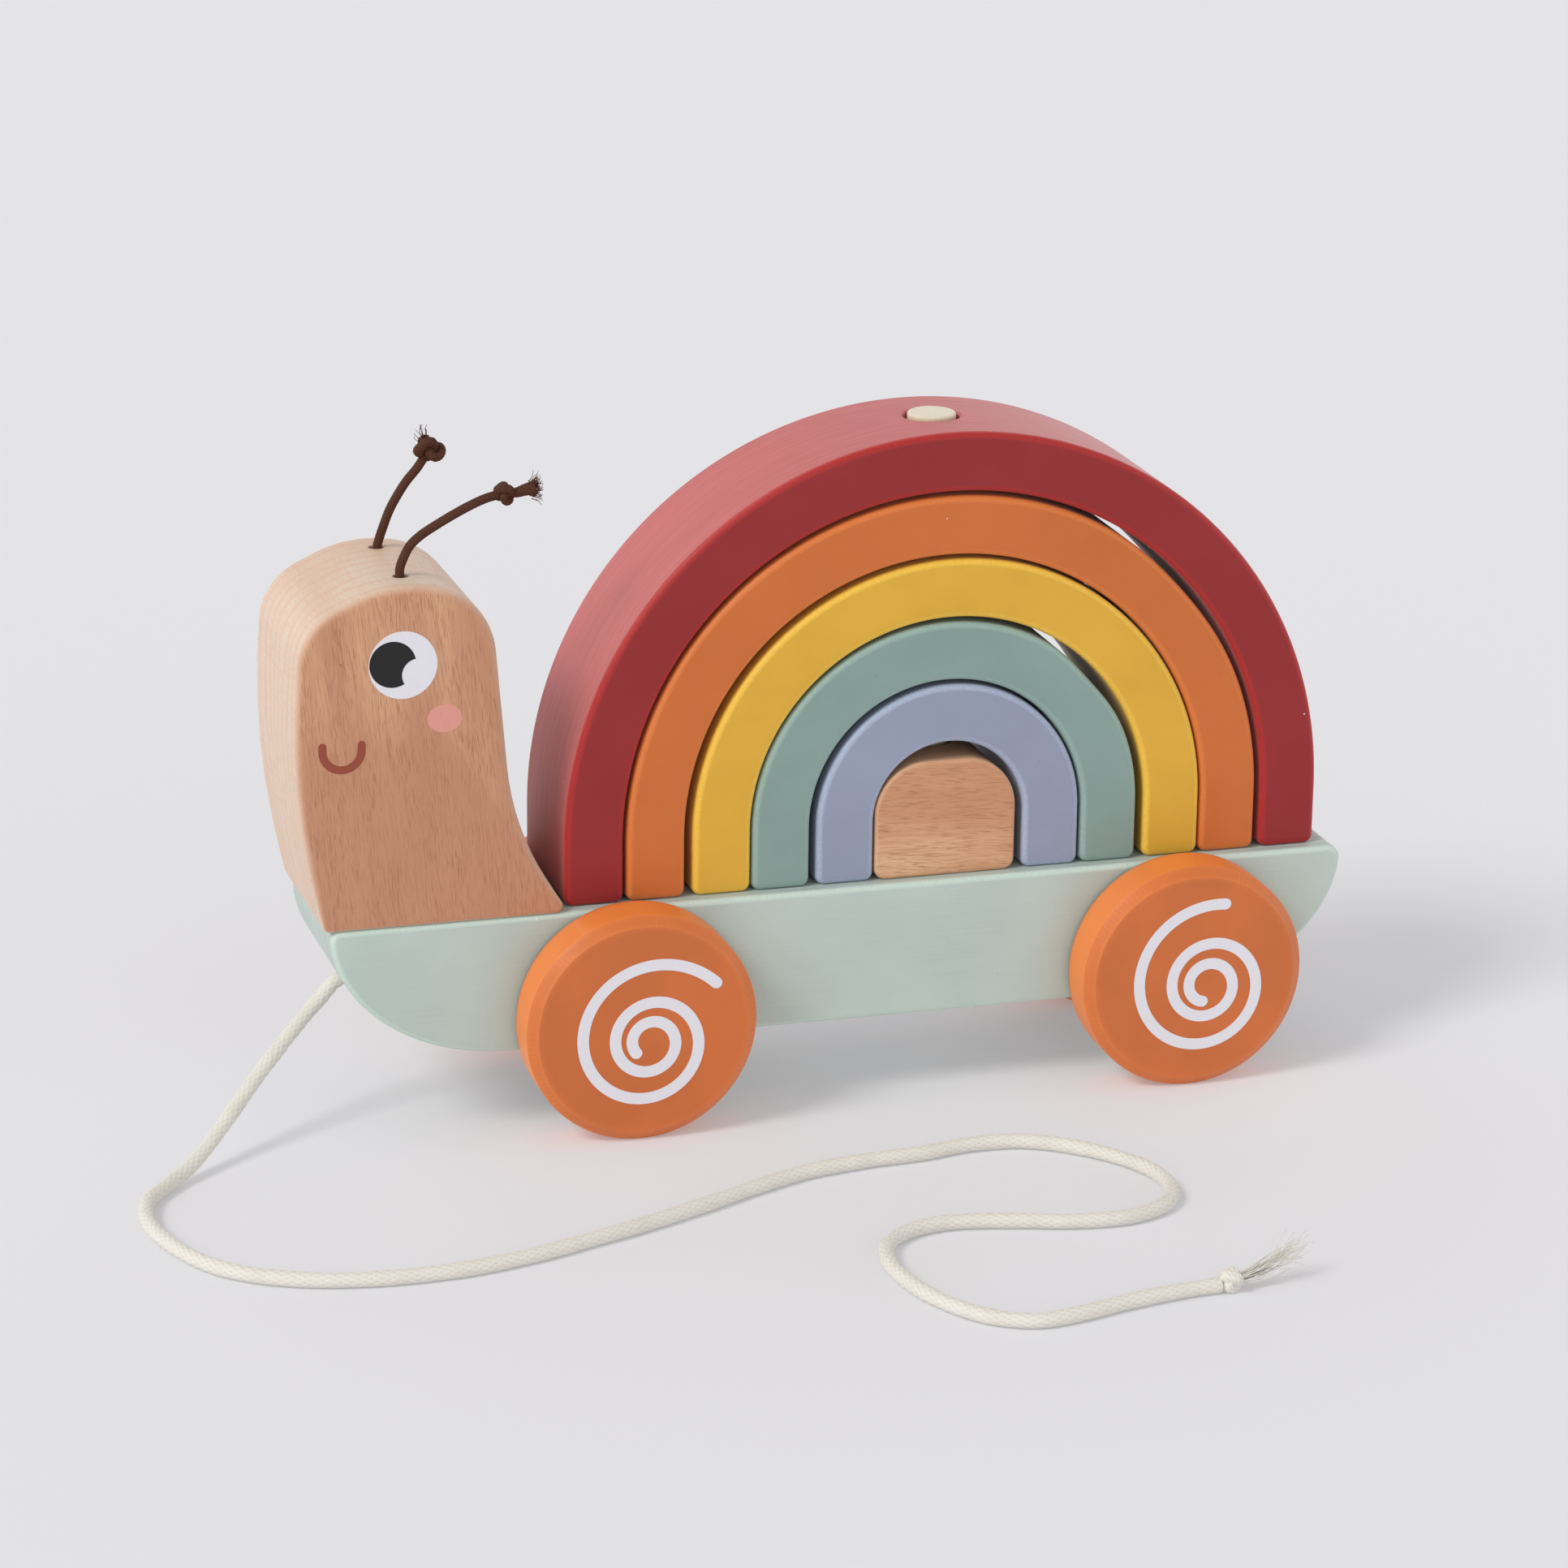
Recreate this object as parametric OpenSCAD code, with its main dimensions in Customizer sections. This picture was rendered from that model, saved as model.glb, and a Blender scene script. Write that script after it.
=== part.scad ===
// Pull-along snail: a wooden board on four wheels, with a solid head, cord antennae, five loose arches that
// stack on an upright peg as the shell, and a braided cotton pull cord.
// Frame: +Z up, the snail's head towards -X, its left side towards -Y, the floor at z = 0.

/* [Base] */
// Length of the base board
base_len = 225.6; // [200:1:260]
// Width of the base board
base_w = 40; // [36:0.5:48]
// Thickness of the base board
base_h = 30; // [28:0.5:36]
// Height of the board's underside above the floor
base_clear = 18; // [16:0.5:22]
// Length of the quarter-oval curve under the front end
front_curve = 38.6; // [34:0.2:42]
// Length of the quarter-oval curve under the rear end
rear_curve = 35; // [30:0.5:38]
// Distance of the front end of the base behind the snail's nose
nose_overhang = 7.4; // [5:0.2:10]

/* [Wheels] */
// Wheel diameter
wheel_d = 50; // [46:1:54]
// Wheel thickness
wheel_t = 11.5; // [10:0.5:14]
// Chamfer of the wheel's outer rim, measured along the radius
rim_chamfer = 2.2; // [1:0.2:3]
// Gap between a wheel and the side of the base
wheel_gap = 1; // [0.8:0.1:2]
// Axle diameter
axle_d = 6; // [5:0.5:8]
// Diametral running clearance of the axle bores
axle_play = 0.6; // [0.4:0.1:1]
// Depth of the blind axle hole in a wheel
wheel_hole_depth = 7.5; // [6:0.5:8]
// Place of the front axle along the base
front_axle_x = -45; // [-52:0.5:-40]
// Place of the rear axle along the base
rear_axle_x = 78.2; // [70:0.2:80]

/* [Shell] */
// Place of the shell's middle along the base
shell_x = 26.4; // [24:0.2:28]
// Front-to-back depth of the arches
arch_depth = 34; // [30:0.5:36]
// Radial thickness of an arch
arch_wall = 12.75; // [12:0.05:13]
// Nominal gap between one arch and the next
arch_gap = 1; // [0.9:0.05:1.2]
// Height of the straight legs below the half circles
leg_h = 13; // [10:0.5:16]
// Radius of the rounded edges of the arches
arch_round = 2; // [1:0.25:3]
// Half width of the centre block
block_r = 15.75; // [15:0.05:15.9]
// Height of the centre block
block_h = 25.7; // [24:0.1:26.5]
// Radius of the centre block's shoulders
block_shoulder = 11.5; // [8:0.5:12]
// Peg diameter
peg_d = 10.4; // [9:0.1:10.8]
// Diameter of the peg holes through the block and the arches
peg_hole_d = 12; // [11.8:0.1:12.4]
// Depth of the peg's seat in the base
peg_seat = 20; // [15:1:24]
// Height of the peg's end above the outer arch
peg_proud = 0.6; // [0.2:0.1:2]

/* [Head] */
// Height of the head above the base
head_h = 73.3; // [68:0.1:78]
// Diameter of the two dowels that fasten the head
dowel_d = 8; // [6:1:8]
// Depth of each head dowel hole, above and below the joint
dowel_half = 10; // [8:0.5:10]
// Distance between the two head dowels
dowel_pitch = 26; // [22:1:28]
// Half distance between the antennae
antenna_y = 11.5; // [10:0.5:13]
// Diameter of the antenna cord
antenna_d = 2; // [1.6:0.2:2.4]
// Diameter of the antenna holes
antenna_hole_d = 3.2; // [2.6:0.2:3.6]
// Depth of the antenna holes
antenna_hole_depth = 14; // [10:1:18]
// Diameter of the antenna knots
antenna_knot_d = 6; // [5:0.5:7]

/* [Pull cord] */
// Diameter of the pull cord
cord_d = 3.5; // [3:0.1:3.9]
// Diameter of the cord hole in the front of the base
cord_hole_d = 4.6; // [4.2:0.2:5.4]
// Height of the cord hole above the floor
cord_hole_z = 31; // [29:0.5:33]
// Diameter of the knot pocket under the base
pocket_d = 14; // [12:0.5:16]
// Diameter of the stop knot in the pocket
stop_knot_d = 9; // [8:0.5:10]
// Diameter of the knot at the free end
end_knot_d = 5; // [4.4:0.2:6]

/* [Hidden] */
$fn = 96;

wood_beech = [0.86, 0.66, 0.47];
paint_mint = [0.72, 0.82, 0.78];
paint_orange = [0.80, 0.44, 0.24];
cotton = [0.93, 0.92, 0.87];
wax_brown = [0.23, 0.13, 0.10];
arch_colours = [[0.55, 0.58, 0.68], [0.50, 0.63, 0.58], [0.84, 0.65, 0.24], [0.80, 0.44, 0.24], [0.60, 0.20, 0.22]];

// The front and rear ends of the base, and the heights of its top and of the half circles' centre
base_x0 = (nose_overhang - base_len) / 2;
nose_x = base_x0 - nose_overhang;
base_x1 = base_x0 + base_len;
base_top = base_clear + base_h;
arc_z = base_top + leg_h;
rear_corner = 3;
curve_steps = 16;

// Arches count from 0, the innermost. Hand-fitted pieces sit a little off the middle.
arch_shift = [0.2, -0.3, 0.4, -0.3, 0];
block_shift = -0.5;
function arch_inner(i) = block_r + arch_gap + i * (arch_wall + arch_gap);
function arch_outer(i) = arch_inner(i) + arch_wall;
peg_top = arc_z + arch_outer(4) + peg_proud;

wheel_r = wheel_d / 2;
wheel_y = base_w / 2 + wheel_gap;
rim_depth = 1.8;
back_chamfer = 0.6;
axle_half = wheel_y + wheel_hole_depth - 0.5;

dowel_x = nose_x + 33;
antenna_x = nose_x + 25;
head_top = base_top + head_h;
pocket_x = base_x0 + 30;
pocket_top = 36;
knot_sink = 0.5;
cord_start_x = pocket_x - stop_knot_d / 2 + knot_sink;

// Head outline as fillet corners: distance behind the nose, height above the base, corner radius,
// drawn for a head of drawn_head_h
drawn_head_h = 73.3;
head_corners = [
    [6.3, 0, 1.5], [-1.3, 30.5, 160], [1.3, 65.7, 15], [20.3, 74.4, 30],
    [42.2, 70.8, 16.4], [46.8, 19.4, 59.5], [58.1, 0, 2.5]
];

// Routes, in millimetres. Antennae lie in upright planes and are given from the bottom of their holes.
antenna_route_left = [
    [-91.6, -1], [-91.6, 1.5], [-90.7, 4], [-89.3, 6.4], [-87, 8.4], [-84, 10.2],
    [-80.5, 12.1], [-77, 13.8], [-73.5, 15.2], [-70, 16]
];
antenna_route_right = [
    [-91.2, -1], [-91, 1], [-90, 4], [-88.5, 7.8], [-86.7, 11], [-84.8, 13.8], [-82.4, 16.6], [-80.2, 20]
];
// The pull cord runs from its stop knot through the hole, hangs to the floor and lies along it.
floor_z = cord_d / 2 + 0.05;
hanging_route = [
    [cord_start_x, 0, cord_hole_z], [-94, 0, cord_hole_z], [-101, 0, cord_hole_z], [-104.2, -0.1, 29.9],
    [-107, -0.4, 27], [-110.2, -1.5, 24.2], [-115.7, -5.5, 20.3], [-120.6, -9.5, 16.8],
    [-125.2, -13.4, 13.3], [-131.7, -19.5, 8.4], [-137.7, -25.5, 4.5], [-142.6, -30.2, 2.4]
];
lying_route = [
    [-148, -36], [-152.5, -43], [-154, -54], [-151.5, -66], [-147, -76], [-141, -83], [-133, -88],
    [-123, -91.5], [-111, -93], [-98, -92.5], [-84, -89.5], [-70, -84.5], [-56, -79], [-42, -72.5],
    [-30, -66.5], [-18, -61.5], [-5, -59], [8, -58], [19, -56], [29, -56.5], [38, -61], [46, -69], [51.5, -79],
    [52, -89], [48, -97], [39, -101.5], [27, -101], [15, -97.5], [3, -95], [-6, -96.5], [-13, -102], [-16, -111],
    [-15, -123], [-11, -134], [-5, -142], [3, -146], [12, -145], [23, -142], [33, -140], [43.5, -139]
];
cord_route = concat(hanging_route, [for (p = lying_route) [p[0], p[1], floor_z]]);
cord_end = cord_route[len(cord_route) - 1];
end_knot_at = cord_end + [end_knot_d / 2 - 0.3, -0.2, end_knot_d / 2 - floor_z + 0.05];
fray_start = end_knot_at + [end_knot_d / 2 - 0.4, 0, 0];

function unit(v) = v / norm(v);
function route_dir(path, i) = unit(path[min(i + 1, len(path) - 1)] - path[max(i - 1, 0)]);

// A round tube swept along a path: one ring of points at each route point, closed at both ends.
module tube(path, d, sides, ref) {
    rings = [
        for (i = [0:len(path) - 1])
            let (t = route_dir(path, i), side = unit(cross(ref, t)), over = cross(t, side))
                for (k = [0:sides - 1])
                    path[i] + d / 2 * (cos(k * 360 / sides) * side + sin(k * 360 / sides) * over)
    ];
    last = (len(path) - 1) * sides;
    walls = [
        for (i = [0:len(path) - 2]) for (k = [0:sides - 1])
            let (a = i * sides + k, b = i * sides + (k + 1) % sides)
                [a, a + sides, b + sides, b]
    ];
    caps = [[for (k = [0:sides - 1]) k], [for (k = [sides - 1:-1:0]) last + k]];
    polyhedron(points = rings, faces = concat(walls, caps), convexity = 4);
}

// Points of an arc that rounds the corner b of an outline with radius r, from side a to side c
function fillet(a, b, c, r) =
    let (
        u = unit(a - b), v = unit(c - b), half = acos(u * v) / 2,
        centre = b + unit(u + v) * r / sin(half),
        start = b + u * r / tan(half), finish = b + v * r / tan(half),
        a0 = atan2(start[1] - centre[1], start[0] - centre[0]),
        sweep = atan2(finish[1] - centre[1], finish[0] - centre[0]) - a0,
        turn = sweep > 180 ? sweep - 360 : sweep < -180 ? sweep + 360 : sweep,
        steps = max(3, ceil(abs(turn) / 6))
    )
    [for (k = [0:steps]) centre + r * [cos(a0 + turn * k / steps), sin(a0 + turn * k / steps)]];

function rounded_outline(corners) =
    let (n = len(corners))
    [
        for (i = [0:n - 1])
            let (a = corners[(i + n - 1) % n], b = corners[i], c = corners[(i + 1) % n])
                each fillet([a[0], a[1]], [b[0], b[1]], [c[0], c[1]], b[2])
    ];

// Turns an outline drawn in X and Z into a slab centred on the mid-plane.
module slab(width) {
    rotate([90, 0, 0])
        linear_extrude(height = width, center = true)
            children();
}

module upright_cylinder(x, z0, z1, d) {
    translate([x, 0, z0])
        cylinder(d = d, h = z1 - z0);
}

module cross_cylinder(x, z, half, d) {
    translate([x, -half, z])
        rotate([-90, 0, 0])
            cylinder(d = d, h = 2 * half);
}

module base_outline() {
    front = [
        for (k = [0:curve_steps])
            let (a = 90 * k / curve_steps)
                [base_x0 + front_curve * (1 - cos(a)), base_top - base_h * sin(a)]
    ];
    rear = [
        for (k = [0:curve_steps - 2])
            let (a = 90 * k / curve_steps)
                [base_x1 - rear_curve * (1 - sin(a)), base_clear + base_h * (1 - cos(a))]
    ];
    corner = [
        for (k = [0:4])
            let (a = 90 * k / 4)
                [base_x1 - rear_corner * (1 - cos(a)), base_top - rear_corner * (1 - sin(a))]
    ];
    polygon(concat(front, rear, corner));
}

module base() {
    color(paint_mint)
        difference() {
            slab(base_w) base_outline();
            for (x = [front_axle_x, rear_axle_x])
                cross_cylinder(x, wheel_r, base_w, axle_d + axle_play);
            upright_cylinder(shell_x, base_top - peg_seat, base_top + 1, peg_d);
            for (side = [-1, 1])
                upright_cylinder(dowel_x + side * dowel_pitch / 2, base_top - dowel_half, base_top + 1, dowel_d);
            upright_cylinder(pocket_x, 0, pocket_top, pocket_d);
            translate([base_x0 - 1, 0, cord_hole_z])
                rotate([0, 90, 0])
                    cylinder(d = cord_hole_d, h = pocket_x - base_x0 + 1);
        }
}

module peg() {
    chamfer = 0.5;
    color([0.90, 0.82, 0.68])
        translate([shell_x, 0, base_top - peg_seat]) {
            cylinder(d = peg_d, h = peg_top - base_top + peg_seat - chamfer);
            translate([0, 0, peg_top - base_top + peg_seat - chamfer])
                cylinder(d1 = peg_d, d2 = peg_d - 2 * chamfer, h = chamfer);
        }
}

module head() {
    color(wood_beech)
        difference() {
            slab(base_w)
                translate([nose_x, base_top])
                    scale([1, head_h / drawn_head_h])
                        polygon(rounded_outline(head_corners));
            for (side = [-1, 1]) {
                upright_cylinder(dowel_x + side * dowel_pitch / 2, base_top - 1, base_top + dowel_half, dowel_d);
                translate([antenna_x, side * antenna_y, head_top - antenna_hole_depth])
                    cylinder(d = antenna_hole_d, h = antenna_hole_depth + 5);
            }
        }
}

module head_dowels() {
    color([0.85, 0.74, 0.58])
        for (side = [-1, 1])
            upright_cylinder(
                dowel_x + side * dowel_pitch / 2, base_top - dowel_half + 0.5, base_top + dowel_half - 0.5, dowel_d
            );
}

function antenna_path(route, side) =
    concat(
        [[antenna_x, side * antenna_y, head_top - antenna_hole_depth]],
        [for (p = route) [p[0], side * antenna_y, head_top + p[1]]]
    );

module antenna(route, side) {
    color(wax_brown)
        tube(antenna_path(route, side), antenna_d, 8, [0, 1, 0]);
}

module antenna_knot(route, side, tail) {
    tip = route[len(route) - 1];
    color(wax_brown)
        translate([tip[0], side * antenna_y, head_top + tip[1]]) {
            sphere(d = antenna_knot_d);
            rotate([0, tail[0], 0])
                cylinder(d = tail[1], h = tail[2]);
        }
}

module centre_block() {
    foot = 2;
    color(wood_beech)
        difference() {
            slab(arch_depth)
                translate([shell_x + block_shift, base_top])
                    polygon(rounded_outline([
                        [-block_r, 0, foot], [block_r, 0, foot],
                        [block_r, block_h, block_shoulder], [-block_r, block_h, block_shoulder]
                    ]));
            upright_cylinder(shell_x, base_top - 1, base_top + block_h + 1, peg_hole_d);
        }
}

// Section of an arch: a rectangle with quarter-round corners, its inner side at x = 0
module arch_section() {
    r = arch_round;
    translate([r, -arch_depth / 2])
        square([arch_wall - 2 * r, arch_depth]);
    translate([0, -arch_depth / 2 + r])
        square([arch_wall, arch_depth - 2 * r]);
    for (x = [r, arch_wall - r], y = [-1, 1])
        translate([x, y * (arch_depth / 2 - r)])
            circle(r = r, $fn = 32);
}

module arch(i) {
    ri = arch_inner(i);
    color(arch_colours[i])
        difference() {
            translate([shell_x + arch_shift[i], 0, arc_z]) {
                rotate([90, 0, 0])
                    rotate_extrude(angle = 180)
                        translate([ri, 0])
                            arch_section();
                for (side = [0, 1])
                    mirror([side, 0, 0])
                        translate([ri, 0, -leg_h])
                            linear_extrude(height = leg_h)
                                arch_section();
            }
            upright_cylinder(shell_x, arc_z, arc_z + arch_outer(i) + 2, peg_hole_d);
        }
}

module arch_lavender() { arch(0); }
module arch_green() { arch(1); }
module arch_yellow() { arch(2); }
module arch_orange() { arch(3); }
module arch_red() { arch(4); }

module axle(x) {
    color([0.85, 0.74, 0.58])
        cross_cylinder(x, wheel_r, axle_half, axle_d);
}

module front_axle() { axle(front_axle_x); }
module rear_axle() { axle(rear_axle_x); }

// A turned wheel: side -1 is the snail's left, with the plain face and the blind hole's mouth inwards.
module wheel(x, side) {
    color(paint_orange)
        translate([x, 0, wheel_r])
            rotate([side * -90, 0, 0])
                rotate_extrude()
                    polygon([
                        [0, wheel_y + wheel_hole_depth], [axle_d / 2, wheel_y + wheel_hole_depth],
                        [axle_d / 2, wheel_y], [wheel_r - back_chamfer, wheel_y],
                        [wheel_r, wheel_y + back_chamfer], [wheel_r, wheel_y + wheel_t - rim_depth],
                        [wheel_r - rim_chamfer, wheel_y + wheel_t], [0, wheel_y + wheel_t]
                    ]);
}

module wheel_front_left() { wheel(front_axle_x, -1); }
module wheel_front_right() { wheel(front_axle_x, 1); }
module wheel_rear_left() { wheel(rear_axle_x, -1); }
module wheel_rear_right() { wheel(rear_axle_x, 1); }

module pull_cord() {
    color(cotton)
        tube(cord_route, cord_d, 8, [0, 0, 1]);
}

module cord_stop_knot() {
    color(cotton)
        translate([pocket_x, 0, cord_hole_z])
            sphere(d = stop_knot_d);
}

module cord_end_knot() {
    color(cotton)
        translate(end_knot_at)
            sphere(d = end_knot_d);
}

// Loose fibres past the end knot: a flattened tuft that widens away from the knot
module cord_frayed_end() {
    tuft = [[0, 1.2, 1.2], [5, 1.8, 1.4], [11, 2.4, 1.2]];
    color(cotton)
        hull()
            for (t = tuft)
                translate(fray_start + [t[0], t[0] * 0.25, 0])
                    cube([0.2, 2 * t[1], 2 * t[2]], center = true);
}

module antenna_left() { antenna(antenna_route_left, -1); }
module antenna_right() { antenna(antenna_route_right, 1); }
module antenna_knot_left() { antenna_knot(antenna_route_left, -1, [80, 2.6, 8]); }
module antenna_knot_right() { antenna_knot(antenna_route_right, 1, [-35, 2, 5]); }

base();
peg();
head();
head_dowels();
antenna_left();
antenna_right();
antenna_knot_left();
antenna_knot_right();
centre_block();
arch_lavender();
arch_green();
arch_yellow();
arch_orange();
arch_red();
front_axle();
rear_axle();
wheel_front_left();
wheel_front_right();
wheel_rear_left();
wheel_rear_right();
pull_cord();
cord_stop_knot();
cord_end_knot();
cord_frayed_end();
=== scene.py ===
"""Pull-along snail toy: painted arches stacked on a peg, a beech head with cord antennae, a painted board on
four wheels and a braided cotton pull cord.

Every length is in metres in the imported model's frame: +Z up, the head towards -X, the snail's left side
towards -Y, the floor at z = 0. Names ending in _mm hold millimetres.
"""
import logging
import math
from dataclasses import dataclass, field
from enum import Enum

import bmesh
import bpy
import numpy as np
from mathutils import Matrix, Vector


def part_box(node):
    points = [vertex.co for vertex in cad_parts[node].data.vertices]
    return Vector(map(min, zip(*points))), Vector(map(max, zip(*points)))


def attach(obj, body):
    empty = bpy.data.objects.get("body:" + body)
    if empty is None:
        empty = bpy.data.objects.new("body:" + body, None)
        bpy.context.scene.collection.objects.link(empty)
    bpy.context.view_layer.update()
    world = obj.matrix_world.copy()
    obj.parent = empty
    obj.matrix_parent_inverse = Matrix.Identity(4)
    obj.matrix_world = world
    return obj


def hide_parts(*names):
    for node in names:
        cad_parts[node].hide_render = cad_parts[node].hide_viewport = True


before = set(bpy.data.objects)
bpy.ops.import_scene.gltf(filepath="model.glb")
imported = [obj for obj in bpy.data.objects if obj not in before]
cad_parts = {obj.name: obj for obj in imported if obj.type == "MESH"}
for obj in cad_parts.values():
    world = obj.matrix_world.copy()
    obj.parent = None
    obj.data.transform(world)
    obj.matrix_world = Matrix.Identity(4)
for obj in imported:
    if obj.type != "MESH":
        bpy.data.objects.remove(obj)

LOG = logging.getLogger("snail")
MM = 0.001
Colour = tuple[float, float, float]
Point = tuple[float, float, float]


def shade(tone: Colour, share: float) -> Colour:
    """A tone with every channel multiplied by a share."""
    return tuple(c * share for c in tone)


def unit(vectors: np.ndarray) -> np.ndarray:
    """Vectors scaled to length 1 along the last axis."""
    return vectors / np.linalg.norm(vectors, axis=-1, keepdims=True)


# ---------------------------------------------------------------- shader bench

class Wire:
    """A shader socket that takes part in arithmetic, adding one Math node for each operation."""

    def __init__(self, bench: "Bench", socket: bpy.types.NodeSocket) -> None:
        """Wraps a socket that lies on a bench."""
        self.bench = bench
        self.socket = socket

    def _math(self, operation: str, first: object, second: object = 0.0) -> "Wire":
        """Adds one Math node of the named operation."""
        return self.bench.node("ShaderNodeMath", {"operation": operation}, {0: first, 1: second})

    def __add__(self, other: object) -> "Wire":
        """Adds a value or a wire."""
        return self._math("ADD", self, other)

    def __radd__(self, other: object) -> "Wire":
        """Adds to a value."""
        return self._math("ADD", other, self)

    def __sub__(self, other: object) -> "Wire":
        """Takes a value or a wire away."""
        return self._math("SUBTRACT", self, other)

    def __rsub__(self, other: object) -> "Wire":
        """Takes this wire away from a value."""
        return self._math("SUBTRACT", other, self)

    def __mul__(self, other: object) -> "Wire":
        """Multiplies by a value or a wire."""
        return self._math("MULTIPLY", self, other)

    def __rmul__(self, other: object) -> "Wire":
        """Multiplies a value."""
        return self._math("MULTIPLY", other, self)

    def sine(self) -> "Wire":
        """The sine of this wire, in radians."""
        return self._math("SINE", self)

    def above_zero(self) -> "Wire":
        """This wire where it is over 0, and 0 elsewhere."""
        return self._math("MAXIMUM", self, 0.0)

    def above(self, low: float, high: float) -> "Wire":
        """Rises smoothly from 0 at low to 1 at high.

        Args:
            low: the value that gives 0.
            high: the value that gives 1; it may be the smaller, for a fall.

        Returns:
            The smooth step.
        """
        return self.bench.node(
            "ShaderNodeMapRange", {"interpolation_type": "SMOOTHSTEP"},
            {"Value": self, "From Min": low, "From Max": high, "To Min": 0.0, "To Max": 1.0},
        )


class Bench:
    """The node tree of one material or world, with one method that lays a node on it."""

    def __init__(self, owner: bpy.types.Material | bpy.types.World) -> None:
        """Starts an empty tree on a new material or world."""
        self.owner = owner
        owner.use_nodes = True
        self.tree = owner.node_tree
        self.tree.nodes.clear()

    def node(self, kind: str, settings: dict | None = None, inputs: dict | None = None,
             out: int | str = 0) -> Wire:
        """Adds a node, sets it up and connects it.

        Args:
            kind: the node's type.
            settings: its own settings, set first.
            inputs: values or wires by socket name or number.
            out: the name or number of the output that is wanted.

        Returns:
            That output.
        """
        made = self.tree.nodes.new(kind)
        for key, value in (settings or {}).items():
            setattr(made, key, value)
        for key, value in (inputs or {}).items():
            socket = made.inputs[key]
            if isinstance(value, Wire):
                self.tree.links.new(value.socket, socket)
            elif isinstance(value, tuple) and len(value) == 3 and len(socket.default_value) == 4:
                socket.default_value = (*value, 1.0)
            else:
                socket.default_value = value
        return Wire(self, made.outputs[out])

    def place(self, size_mm: Point, turn: Point = (0.0, 0.0, 0.0)) -> Wire:
        """Object coordinates turned, then divided by a feature size along each axis.

        Args:
            size_mm: the length of one feature along the turned axes.
            turn: the angles of the pattern about X, Y and Z, in radians.

        Returns:
            The scaled coordinates.
        """
        coords = self.node("ShaderNodeTexCoord", out="Object")
        if any(turn):
            coords = self.node("ShaderNodeMapping", {"vector_type": "POINT"}, {"Vector": coords, "Rotation": turn})
        scale = tuple(1.0 / (size * MM) for size in size_mm)
        return self.node("ShaderNodeVectorMath", {"operation": "MULTIPLY"}, {0: coords, 1: scale})

    def noise(self, size_mm: Point, detail: float = 2.0, roughness: float = 0.5,
              turn: Point = (0.0, 0.0, 0.0)) -> Wire:
        """Smooth noise from 0 to 1 with features of the given size along the turned axes."""
        return self.node("ShaderNodeTexNoise", inputs={
            "Vector": self.place(size_mm, turn), "Scale": 1.0, "Detail": detail, "Roughness": roughness})

    def specks(self, cell_mm: float, radius: float, share: float) -> Wire:
        """Scattered round specks.

        Args:
            cell_mm: the mean distance between the places where a speck may be.
            radius: the speck's radius as a part of that distance.
            share: the part of the places that hold one.

        Returns:
            1 on a speck and 0 elsewhere.
        """
        coords = self.place((cell_mm, cell_mm, cell_mm))
        near = self.node("ShaderNodeTexVoronoi", {"feature": "F1"}, {"Vector": coords, "Scale": 1.0}, "Distance")
        tint = self.node("ShaderNodeTexVoronoi", {"feature": "F1"}, {"Vector": coords, "Scale": 1.0}, "Color")
        pick = self.node("ShaderNodeSeparateColor", inputs={"Color": tint}, out="Red")
        return near.above(radius, radius * 0.6) * pick.above(share + 0.02, share)

    def field(self, name: str) -> Wire:
        """A number that the piece's mesh carries at each point."""
        return self.node("ShaderNodeAttribute", {"attribute_name": name}, out="Fac")

    def blend(self, factor: object, first: object, second: object) -> Wire:
        """Mixes two colours.

        Args:
            factor: 0 gives the first and 1 the second, as a number or a wire.
            first: a colour or a wire.
            second: a colour or a wire.

        Returns:
            The mixed colour.
        """
        return self.node("ShaderNodeMix", {"data_type": "RGBA"}, {0: factor, 6: first, 7: second}, 2)

    def bump(self, height: Wire, depth_mm: float, strength: float = 1.0) -> Wire:
        """Turns a height from 0 to 1 into a bent normal."""
        return self.node("ShaderNodeBump", inputs={"Height": height, "Distance": depth_mm * MM, "Strength": strength})

    def finish(self, inputs: dict) -> bpy.types.Material:
        """Puts a Principled shader with these inputs on the material's output and returns the material."""
        self.join(self.node("ShaderNodeBsdfPrincipled", inputs=inputs), "ShaderNodeOutputMaterial")
        return self.owner

    def join(self, shader: Wire, output: str) -> None:
        """Joins a shader to an output node of the given type."""
        self.tree.links.new(shader.socket, self.tree.nodes.new(output).inputs["Surface"])


# ---------------------------------------------------------------- finishes

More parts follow.
